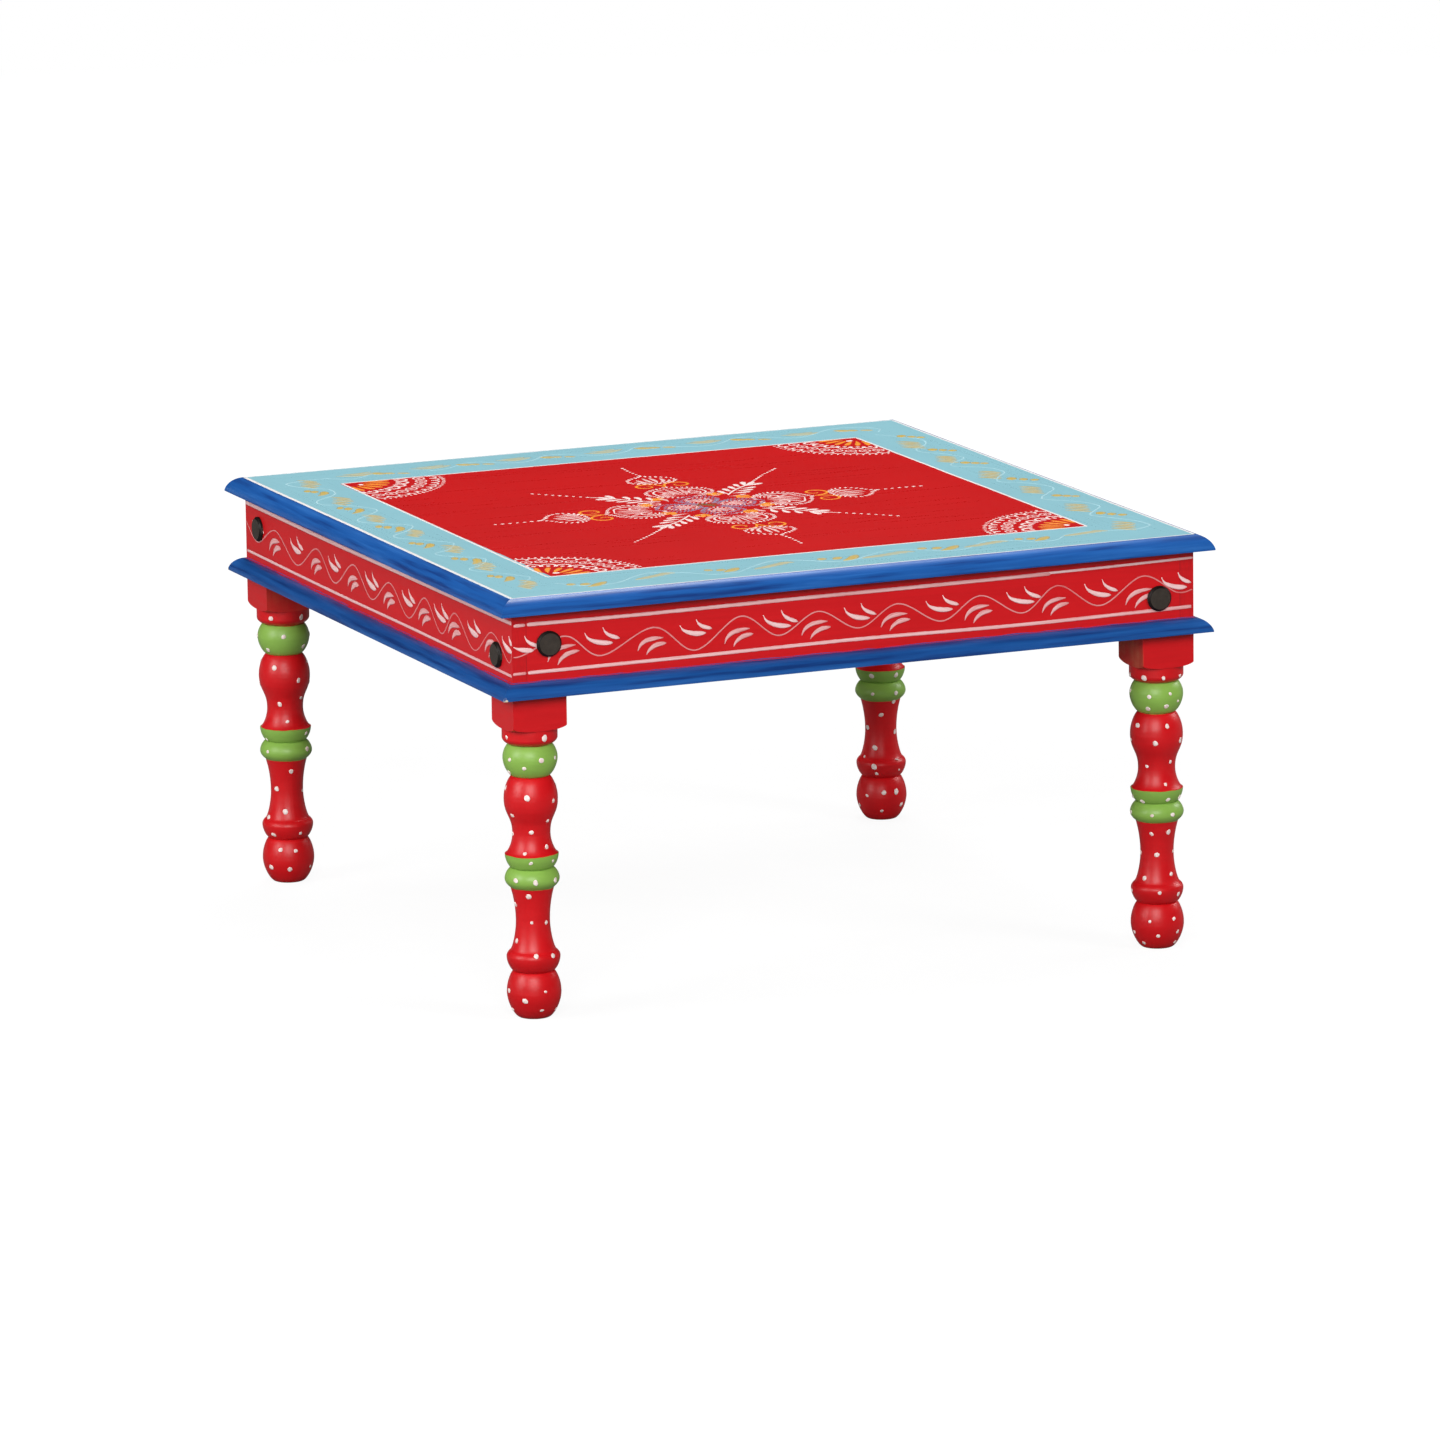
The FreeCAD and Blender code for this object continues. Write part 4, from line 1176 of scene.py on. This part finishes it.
# The straight lines over and under the vine, stroke by stroke: points, share of the set width, and cover.
FRONT_LINES = (
    (((-286.6, 310.3), (-281, 310.4), (-275.8, 310.4)), 0.9, 0.6),
    (((-274.4, 310.5), (-180, 310), (-60, 310.6), (60, 310.8), (164, 311)), 1.05, 0.66),
    (((150, 311.4), (210, 312), (286.6, 313)), 0.72, 0.8),
    (((-286.6, 272.8), (-281, 272.9), (-275.8, 273)), 0.8, 0.5),
    (((-274.4, 273), (-140, 273.4), (0, 274.3), (140, 272.8), (286.6, 274.4)), 1.0, 0.68),
)
OTHER_LINES = (
    (((-286.6, 311.4), (-100, 311), (80, 311.8), (286.6, 312.2)), 1.2, 0.74),
    (((-286.6, 272.2), (-100, 271.4), (90, 271.8), (286.6, 271.2)), 0.85, 0.72),
)


class BAJOT_OT_brush_aprons(bpy.types.Operator):
    """Brush the lines, the vine and its pairs of leaves on the four aprons"""
    bl_idname = "bajot.brush_aprons"
    bl_label = "Brush the Aprons"

    def execute(self, context):
        colours = context.scene.bajot_colours
        sizes = context.scene.bajot_ornament
        line = sizes.apron_line_width / MM / 2
        vine = sizes.vine_width / MM / 2
        paint = stroke_paint("white_on_body_red", colours.pink_white, colours.body_red)
        for number, side in enumerate(SIDES):
            turns = VINE_TURNS[side]
            press = 1.0 if side == "front" else 1.3
            upper_leaves = [stroke([(-13, 8), (-10.5, 3.8), (-5, 0.8), (2, -0.9), (9.5, -1.3)],
                                   2.0 * press, (1.05, 0.55), 0.84),
                            stroke([(1.5, 11), (3.4, 7.2), (8, 3.9), (15, 1.6)], 1.6 * press,
                                   (1.05, 0.55), 0.84)]
            lower_leaves = [stroke([(-14.5, -4.6), (-12, 0), (-7, 3.3), (0, 4.6), (8, 4.7)], 1.8 * press,
                                   (0.85, 0.75), 0.58),
                            stroke([(-7, -8), (-4, -4), (2, -0.8), (10.5, 0)], 1.9 * press, (0.85, 0.6),
                                   0.6)]
            drawn = [stroke(turns, vine, LINE, 0.4)]
            for points, share, cover in FRONT_LINES if side == "front" else OTHER_LINES:
                drawn.append(stroke(points, line * share, LINE, cover))
            anchors = [anchor(0)]
            for u, z in turns:
                if abs(u) > LAST_LEAVES:
                    continue
                if z < VINE_MIDDLE:
                    anchors.append(anchor(1, u, 291.5))
                else:
                    anchors.append(anchor(2, u, 286))
            lay_ornament("apron_ornament_" + side, paint,
                         [drawn, upper_leaves, lower_leaves], anchors, face=side, wobble=0.5, loose=0.9,
                         seed=number)
        return {"FINISHED"}


def medallion_arm():
    """A lobe, its curls, a bud and a line of dots, along the first axis."""
    half_lobe = [(42, 6), (45, 17), (52, 25), (62, 29), (73, 26), (81, 17), (85, 8), (89, 0)]
    inner_lobe = [(48, 9), (51, 17), (58, 22), (67, 22), (75, 17), (79, 8), (82, 0)]
    half_bud = [(107, 2), (109, 12), (117, 20), (127, 20), (135, 13), (139, 6), (145, 0)]
    half = [dabs(half_lobe, 4.0, 2.2, 1.0, 62),
            stroke(inner_lobe, 0.95, PETAL, 0.9),
            stroke(spiral(59, 11, 7.5, 1.5, 200, -470, 16), 0.95, LEAF, 0.95),
            stroke([(50, 1), (58, 4), (68, 7)], 2.2, COMMA, 0.48),
            stroke([(52, 4), (58, 14), (62, 19)], 2.0, COMMA, 0.48),
            stroke([(60, 2), (68, 5), (78, 6)], 2.0, LEAF, 0.5),
            stroke([(63, 6), (68, 12), (74, 15)], 2.0, COMMA, 0.48),
            stroke([(47, 12), (50, 20), (55, 24)], 1.6, COMMA, 0.5),
            dabs(half_bud, 4.4, 2.2, 1.1, 58),
            stroke([(110, 1), (120, 3), (134, 3)], 1.6, LEAF, 0.7),
            stroke([(110, 3), (117, 9), (129, 11)], 1.7, LEAF, 0.7),
            stroke([(110, 6), (113, 12), (121, 16)], 1.5, LEAF, 0.7)]
    middle = [stroke([(52, 0), (66, 0), (84, 0)], 0.7, LEAF, 0.9),
              dabs([(147, 0), (165, 0.5), (184, -0.5)], 5.9, 1.6, 1.25, 0)]
    return half + mirrored(half) + middle


def medallion_spray():
    """Leaves on a stem, a full leaf at its end and dots, along the first axis."""
    spray = [stroke([(46, 0), (70, 1.5), (96, -1), (112, 0)], 0.9, LINE, 0.95)]
    for k in range(4):
        base = 50 + 10.5 * k
        reach = 13.5 - 1.2 * k
        spray.append(stroke([(base, 0.5), (base + 4, 0.5 * reach), (base + 11, reach)], 2.4, COMMA, 0.92))
        if k < 3:
            lower = [(base + 4, -0.5), (base + 8, -0.5 * reach), (base + 15, -0.95 * reach)]
            spray.append(stroke(lower, 2.4, COMMA, 0.92))
    for lean in (-34, -2, 30):
        c, s = compass(lean)
        spray.append(stroke([(88, -1), (88 + 9 * c, -1 + 9 * s), (88 + 18 * c, -1 + 16.5 * s)], 2.6,
                            COMMA, 0.9))
    spray.append(stroke(spiral(45, 9, 6, 1.2, -60, 420, 12), 0.95, LEAF, 0.9))
    spray.append(stroke([(40, -3), (46, -9), (54, -12)], 2.2, COMMA, 0.6))
    spray.append(dabs([(114, 0), (138, 0.6), (166, 0)], 5.7, 1.6, 1.25, 0))
    return spray


def medallion_flower():
    """A quarter of the pink flower inside the lilac ring."""
    flower = []
    for lean in (-38, -14, 12, 36):
        c, s = compass(lean)
        flower.append(stroke([(13, 0), (13 + 9 * c, 7 * s), (13 + 18 * c, 13 * s)], 1.8, COMMA, 0.52))
    flower.append(dabs(oval(23, 0, 12, 9.5), 3.6, 1.7, 0.9, 80, 0.9, closed=True))
    return flower


def medallion_scroll():
    """A double scroll on the first axis."""
    points = [(90, 0), (95, 1), (102, 4), (106.5, 11), (104, 19), (97, 22), (91, 18), (91, 12), (96, 9.5),
              (99, 13)]
    half = [stroke(points, 1.25, (0.25, 0.35), 0.92)]
    return half + mirrored(half)


def medallion_ring():
    """A quarter of the lilac ring: three rows of dabs, and a few inside them."""
    row = [(13, 9), (22, 16), (33, 17), (41, 10), (46, 0)]
    half = [dabs([(x * share, y * share) for x, y in row], 3.1, 1.9, 1.05, 65, 0.92)
            for share in (1.0, 0.84, 0.66)]
    return half + mirrored(half) + [dabs([(8, 0), (10, 6), (8, 9)], 2.6, 1.8, 0.9, 60, 0.9)]


class BAJOT_OT_brush_medallion(bpy.types.Operator):
    """Brush the medallion at the middle of the red field"""
    bl_idname = "bajot.brush_medallion"
    bl_label = "Brush the Medallion"

    def execute(self, context):
        colours = context.scene.bajot_colours
        white = stroke_paint("white_on_top_red", colours.white, colours.top_red)
        orange = stroke_paint("orange_on_top_red", colours.orange, colours.top_red)
        lilac = stroke_paint("lilac_on_top_red", colours.lilac, colours.top_red)
        green = stroke_paint("green_on_top_red", colours.leaf_green, colours.top_red)

        # White: arms on the axes, sprays on the diagonals, and the flower in the middle.
        anchors = [anchor(0), anchor(0, turn=90, along=0.99, across=0.95),
                   anchor(0, turn=180), anchor(0, turn=270, along=0.98, across=0.95),
                   anchor(1, turn=48.5), anchor(1, turn=134, along=0.93, across=1.08),
                   anchor(1, turn=226, along=0.99, across=0.95), anchor(1, turn=315.5, along=0.96)]
        anchors += [anchor(2, turn=90 * k) for k in range(4)]
        motifs = [medallion_arm(), medallion_spray(), medallion_flower()]
        lay_ornament("medallion_white", white, motifs, anchors, loose=0.25)

        # Orange: double scrolls on the axes and little three-stroke flowers between the lobes.
        flower = [stroke([(-6, 0), (-1, 4), (5, 6)], 2.2, COMMA, 0.9),
                  stroke([(-7, 0), (0, 0.4), (8, 0)], 2.5, COMMA, 0.92),
                  stroke([(-6, 0), (-1, -4), (5, -6)], 2.2, COMMA, 0.9)]
        anchors = [anchor(0, turn=90 * k) for k in range(4)]
        for x, y in ((-45, 22), (-27, 42), (22, 42), (38, 22), (-42, -18), (-22, -38), (18, -38), (40, -18)):
            anchors.append(anchor(1, x, y, math.degrees(math.atan2(y, x))))
        lay_ornament("medallion_orange", orange, [medallion_scroll(), flower], anchors,
                     seed=3)

        anchors = [anchor(0, turn=90 * k, along=0.93 if k % 2 else 1) for k in range(4)]
        lay_ornament("medallion_lilac", lilac, [medallion_ring()], anchors, loose=0.3, seed=4)
        middle = [stroke([(-9, 4), (-4, 6), (1, 5)], 2.0, PETAL, 0.9),
                  stroke([(-6, 0), (0, 1.5), (8, 1)], 2.3, PETAL, 0.9),
                  stroke([(-3, -4), (2, -4.5), (7, -4)], 1.9, PETAL, 0.9),
                  stroke([(-12, 1), (-8, 0), (-5, 1)], 1.6, PETAL, 0.9)]
        lay_ornament("medallion_heart", green, [middle], [anchor(0, -1, 2)], loose=0,
                     wobble=0.6, seed=5)
        return {"FINISHED"}


def corner_rosette():
    """Dabs, arcs and rings on quarter circles round the first corner."""
    rosette = [dabs(arc(0, 0, 79, 79, 4, 86, 12), 5.0, 2.0, 1.0, 90, 0.92),
               dabs([(10.4, 11), (11.6, 11)], 5.0, 2.4, 2.2, 0)]
    arches = [stroke(arc(45, 0, 6.2, 5.4, -125, 125, 8), 1.1, LINE, 0.92),
              stroke([(41, 0), (46, 0.6)], 1.9, PETAL, 0.75)]
    rings = [stroke(oval(61.5, 0, 4.4, 4.7), 0.75, LINE, 0.84, closed=True),
             stroke([(60, -1), (63, 1)], 1.5, PETAL, 0.7)]
    scallops = [stroke(arc(71, 0, 4.6, 4.6, -115, 115, 6), 0.85, LINE, 0.88)]
    # Each row's motif, how often it stands there, the first one's angle and the angle to the next.
    for motif, count, first, apart in ((arches, 6, 8, 14.8), (rings, 8, 6, 11.1), (scallops, 11, 5, 8)):
        for k in range(count):
            rosette += turned(motif, first + apart * k)
    return rosette


def corner_petals():
    """Slightly bent petals that fan out from the first corner."""
    petals = []
    for k in range(6):
        c, s = compass(7 + 15.2 * k)
        bend = (k - 2.5) * 0.5
        points = [(16 * c, 16 * s), (27 * c - bend * s, 27 * s + bend * c), (37 * c, 37 * s)]
        petals.append(stroke(points, 2.4, (0.9, 0.4), 0.86))
    return petals


class BAJOT_OT_brush_corners(bpy.types.Operator):
    """Brush the quarter rosettes in the corners of the red field"""
    bl_idname = "bajot.brush_corners"
    bl_label = "Brush the Corner Rosettes"

    def execute(self, context):
        colours = context.scene.bajot_colours
        white = stroke_paint("white_on_top_red", colours.white, colours.top_red)
        orange = stroke_paint("orange_on_top_red", colours.orange, colours.top_red)
        left, right, front, back = (edge / MM for edge in FIELD)
        anchors = [anchor(0, left - 1, front), anchor(0, right, front, 90, 0.97),
                   anchor(0, right, back, 180, 0.95), anchor(0, left + 1, back, 270, 1, 1.04)]
        lay_ornament("corner_rosettes_white", white, [corner_rosette()], anchors, loose=0.1,
                     wobble=0.9, seed=6)
        lay_ornament("corner_rosettes_orange", orange, [corner_petals()], anchors, loose=0.1,
                     wobble=0.9, seed=7)
        return {"FINISHED"}


# Dots on the near half of each leg: height in millimetres, and degrees round the leg from the first axis.
LEG_DOTS = {"front_left": ((221, 193), (221, 280), (204, 200), (204, 272), (204, 313), (198, 235),
                           (193, 185), (180, 170), (175, 240), (171, 304), (160, 198), (155, 297),
                           (147, 248), (144, 172), (135, 293), (131, 231), (124, 246), (124, 301),
                           (110, 211), (109, 255), (109, 305), (97, 237), (89, 179), (76, 244), (75, 299),
                           (61, 189), (51, 254), (50, 296), (22, 181), (23, 273), (16, 228), (7, 180),
                           (8, 266), (7, 315)),
            "front_right": ((219, 170), (219, 218), (219, 260), (219, 305), (206, 168), (204, 229),
                            (206, 276), (199, 300), (194, 224), (196, 268), (180, 195), (180, 270),
                            (167, 170), (167, 242), (167, 310), (147, 213), (150, 290), (133, 268),
                            (119, 205), (121, 272), (121, 312), (121, 165), (109, 170), (109, 234),
                            (109, 280), (93, 228), (94, 282), (76, 170), (76, 244), (77, 316), (57, 205),
                            (60, 292), (46, 170), (47, 250), (44, 300), (24, 228), (25, 284), (13, 180),
                            (12, 246), (14, 296), (5, 205), (5, 300)),
            "back_right": ((221, 210), (221, 290), (205, 180), (204, 255), (196, 300), (181, 225),
                           (170, 280), (158, 200), (148, 260), (134, 230), (124, 225), (124, 287),
                           (109, 228), (109, 284), (101, 287), (90, 248), (78, 189), (74, 309), (62, 226),
                           (54, 191), (52, 290), (47, 229), (41, 234), (43, 294), (22, 211), (25, 252),
                           (25, 283), (13, 301), (9, 246), (12, 179)),
            "back_left": ((221, 222), (221, 293), (204, 165), (206, 250), (194, 206), (196, 304),
                          (182, 330), (180, 225), (169, 283), (164, 165), (153, 305), (149, 233),
                          (135, 255), (124, 305), (119, 190), (110, 204), (111, 305), (93, 264),
                          (78, 210), (75, 320), (60, 243), (54, 184), (41, 212), (42, 281), (29, 230),
                          (28, 267), (14, 205), (13, 252), (13, 310))}


class BAJOT_OT_dot_legs(bpy.types.Operator):
    """Dot the turned part of the four legs with white paint"""
    bl_idname = "bajot.dot_legs"
    bl_label = "Dot the Legs"

    def execute(self, context):
        colours = context.scene.bajot_colours
        sizes = context.scene.bajot_ornament
        material, tree, shader, place = start_material("white_dots")
        skin = noise(tree, place, 420.0, 3.0)
        colour = mix_colours(tree, spread(tree, skin, 0.35, 0.7), tuple(colours.white), linear(232, 205, 196))
        rough = maths(tree, "MULTIPLY_ADD", skin, 0.3, 0.28)
        finish_material(tree, shader, colour, rough, skin, 0.0001)
        for number, corner in enumerate(CORNERS):
            x = -LEG_AXIS if corner.endswith("left") else LEG_AXIS
            y = -LEG_AXIS if corner.startswith("front") else LEG_AXIS
            places = []
            for height, degrees in LEG_DOTS[corner]:
                for angle in (math.radians(degrees), math.radians(degrees + 180)):
                    places.append((x + DOT_ANCHOR_REACH * math.cos(angle),
                                   y + DOT_ANCHOR_REACH * math.sin(angle), height * MM))
            mesh = bpy.data.meshes.new("dot_anchors")
            mesh.from_pydata(places, [], [])
            helper = bpy.data.objects.new("dot_anchors", mesh)
            context.scene.collection.objects.link(helper)
            modifier = helper.modifiers.new("Leg Dots", "NODES")
            modifier.node_group = bpy.data.node_groups["Leg Dots"]
            set_modifier(modifier, Leg=frame["nodes"]["leg_" + corner], Axis=Vector((x, y, 0.0)),
                         Dot_Width=sizes.leg_dot_width, Dot_Height=sizes.leg_dot_height,
                         Seed=sizes.seed + number, Paint=material)
            bake(helper, "leg_dots_" + corner)
        return {"FINISHED"}


# Stage

# The camera's place in metres and its turns in radians, fitted to the table's edges in the photograph.
CAMERA_PLACE = (-3.0017, -7.0493, 1.7545)
CAMERA_YAW = 0.40329
CAMERA_PITCH = 0.20554
CAMERA_ROLL = -0.01386


# Distances from the middle, in metres: where the floor's glow starts to fade, where it has faded, and where
# mirrors see all of it.
GLOW_NEAR = 0.8
GLOW_FAR = 5.0
MIRRORED_FAR = 14.0

# Radius and height of the floor's rings, from its flat middle to its rim, and how many corners each has.
FLOOR_RINGS = ((14.0, 0.0), (17.0, 0.03), (20.0, 0.13), (23.0, 0.33), (26.0, 0.67), (29.0, 1.15))
FLOOR_TURNS = 64

# Where every lamp points, in metres.
LAMP_TARGET = (0.0, 0.0, 0.2)


def make_floor_material():
    """A grey floor that the camera, and mirrors further out, see as white."""
    material = bpy.data.materials.new("pale_floor")
    material.use_nodes = True
    tree = material.node_tree
    tree.nodes.clear()
    place = add_node(tree, "ShaderNodeTexCoord").outputs["Object"]
    far = vectors(tree, "LENGTH", place)
    speckle = noise(tree, place, 30.0, 2.0)
    tone = maths(tree, "MULTIPLY_ADD", speckle, 0.02, 0.18)
    lit = add_node(tree, "ShaderNodeBsdfDiffuse", {"Color": tone, "Roughness": 0.5})
    glow_strength = spread(tree, far, GLOW_NEAR, GLOW_FAR, 1.8, 1.0)
    glow = add_node(tree, "ShaderNodeEmission", {"Strength": glow_strength})
    path = add_node(tree, "ShaderNodeLightPath").outputs
    seen = maths(tree, "ADD", path["Is Camera Ray"], path["Is Transmission Ray"], clamp=True)
    seen_share = maths(tree, "MULTIPLY", seen, spread(tree, far, GLOW_NEAR, GLOW_FAR, 0.5, 1.0))
    mirror_share = spread(tree, far, GLOW_FAR, MIRRORED_FAR)
    share = maths(tree, "MULTIPLY_ADD", path["Is Glossy Ray"], mirror_share, seen_share, clamp=True)
    both = add_node(tree, "ShaderNodeMixShader", {0: share, 1: lit.outputs[0], 2: glow.outputs[0]})
    add_node(tree, "ShaderNodeOutputMaterial", {"Surface": both.outputs[0]})
    return material


def make_floor(scene):
    """Lays a disc whose far rim curves up."""
    places = [(0.0, 0.0, 0.0)]
    for radius, height in FLOOR_RINGS:
        for k in range(FLOOR_TURNS):
            angle = 2 * math.pi * k / FLOOR_TURNS
            places.append((radius * math.cos(angle), radius * math.sin(angle), height))
    faces = [(0, 1 + k, 1 + (k + 1) % FLOOR_TURNS) for k in range(FLOOR_TURNS)]
    for ring in range(len(FLOOR_RINGS) - 1):
        first = 1 + ring * FLOOR_TURNS
        for k in range(FLOOR_TURNS):
            after = (k + 1) % FLOOR_TURNS
            faces.append((first + k, first + FLOOR_TURNS + k, first + FLOOR_TURNS + after, first + after))
    mesh = bpy.data.meshes.new("floor")
    mesh.from_pydata(places, [], faces)
    mesh.shade_smooth()
    mesh.materials.append(make_floor_material())
    floor = bpy.data.objects.new("floor", mesh)
    scene.collection.objects.link(floor)


def make_surround(scene, strength):
    """Lights the scene faintly and evenly from all round."""
    world = bpy.data.worlds.new("surround")
    world.use_nodes = True
    scene.world = world
    background = next(n for n in world.node_tree.nodes if n.type == "BACKGROUND")
    background.inputs["Color"].default_value = (1.0, 1.0, 1.0, 1.0)
    background.inputs["Strength"].default_value = strength


def hang_lamps(scene, settings):
    """Hangs the soft lamps and points them at the table."""
    # Place, size, power, and whether paint mirrors the lamp. Two lamps only fill in: the top would show them
    # as a pale sheet from the front and from behind.
    lamps = (("left_lamp", (-2.9, -0.5, 1.35), (1.5, 1.5), settings.left_power, True),
             ("right_lamp", (3.1, 0.2, 1.8), (1.3, 1.3), settings.right_power, True),
             ("corner_lamp", (2.0, -2.6, 1.7), (1.0, 1.4), settings.corner_power, False),
             ("front_lamp", (-1.6, -3.3, 1.7), (2.2, 1.6), settings.front_power, True),
             ("back_lamp", (-2.9, 2.6, 1.9), (1.5, 1.5), settings.back_power, False),
             ("high_lamp", (0.5, 1.0, 2.7), (1.1, 1.3), settings.high_power, True))
    for name, place, size, power, mirrored_by_paint in lamps:
        lamp = bpy.data.lights.new(name, "AREA")
        lamp.shape = "RECTANGLE"
        lamp.size, lamp.size_y = size
        lamp.energy = power
        holder = bpy.data.objects.new(name, lamp)
        holder.location = place
        holder.rotation_mode = "QUATERNION"
        holder.rotation_quaternion = (Vector(LAMP_TARGET) - Vector(place)).to_track_quat("-Z", "Y")
        scene.collection.objects.link(holder)
        holder.visible_glossy = mirrored_by_paint


def stand_camera(scene, focal_length):
    """Stands the camera where the photograph was taken from."""
    yaw, pitch, roll = CAMERA_YAW, CAMERA_PITCH, CAMERA_ROLL
    forward = Vector((math.sin(yaw) * math.cos(pitch), math.cos(yaw) * math.cos(pitch), -math.sin(pitch)))
    right = Vector((math.cos(yaw), -math.sin(yaw), 0.0))
    up = right.cross(forward)
    across = right * math.cos(roll) + up * math.sin(roll)
    upright = up * math.cos(roll) - right * math.sin(roll)
    lens = bpy.data.cameras.new("camera")
    lens.sensor_width = 36.0
    lens.lens = focal_length
    lens.clip_end = 100.0
    camera = bpy.data.objects.new("camera", lens)
    scene.collection.objects.link(camera)
    matrix = camera.matrix_world.copy()
    for row in range(3):
        matrix[row][0], matrix[row][1], matrix[row][2] = across[row], upright[row], -forward[row]
        matrix[row][3] = CAMERA_PLACE[row]
    camera.matrix_world = matrix
    scene.camera = camera


class BAJOT_OT_build_stage(bpy.types.Operator):
    """Build the floor, the lamps, the surround and the camera"""
    bl_idname = "bajot.build_stage"
    bl_label = "Build the Stage"

    def execute(self, context):
        settings = context.scene.bajot_stage
        scene = context.scene
        scene.view_settings.view_transform = "Standard"
        make_floor(scene)
        make_surround(scene, settings.surround)
        hang_lamps(scene, settings)
        stand_camera(scene, settings.lens)
        return {"FINISHED"}


OPERATORS = (BAJOT_OT_build_stage, BAJOT_OT_paint_top, BAJOT_OT_paint_aprons, BAJOT_OT_paint_legs,
             BAJOT_OT_finish_hardware, BAJOT_OT_brush_pinstripes, BAJOT_OT_brush_border,
             BAJOT_OT_brush_aprons, BAJOT_OT_brush_medallion, BAJOT_OT_brush_corners, BAJOT_OT_dot_legs)


class BAJOT_PT_table(bpy.types.Panel):
    """Lists the table's steps and the sizes and colours they use"""
    bl_label = "Bajot Low Table"
    bl_space_type = "VIEW_3D"
    bl_region_type = "UI"
    bl_category = "Bajot"

    def draw(self, context):
        for step in OPERATORS:
            self.layout.operator(step.bl_idname)
        for group in (context.scene.bajot_colours, context.scene.bajot_ornament, context.scene.bajot_stage):
            box = self.layout.box()
            for name in group.__annotations__:
                box.prop(group, name)


CLASSES = (BajotColours, BajotOrnament, BajotStage, *OPERATORS, BAJOT_PT_table)


def register():
    for item in CLASSES:
        bpy.utils.register_class(item)
    bpy.types.Scene.bajot_colours = bpy.props.PointerProperty(type=BajotColours)
    bpy.types.Scene.bajot_ornament = bpy.props.PointerProperty(type=BajotOrnament)
    bpy.types.Scene.bajot_stage = bpy.props.PointerProperty(type=BajotStage)


def unregister():
    del bpy.types.Scene.bajot_colours
    del bpy.types.Scene.bajot_ornament
    del bpy.types.Scene.bajot_stage
    for item in reversed(CLASSES):
        bpy.utils.unregister_class(item)


def main():
    """Makes the shared node groups and runs every step in order."""
    register()
    make_board_place_group()
    make_brushed_paint_group()
    make_streaked_colour_group()
    make_painted_edge_group()
    make_wood_grain_group()
    make_brush_load_group()
    make_rubbed_edge_group()
    make_ornament_tree()
    make_leg_dot_tree()
    for step in OPERATORS:
        group, name = step.bl_idname.split(".")
        getattr(getattr(bpy.ops, group), name)()


if __name__ == "__main__":
    main()
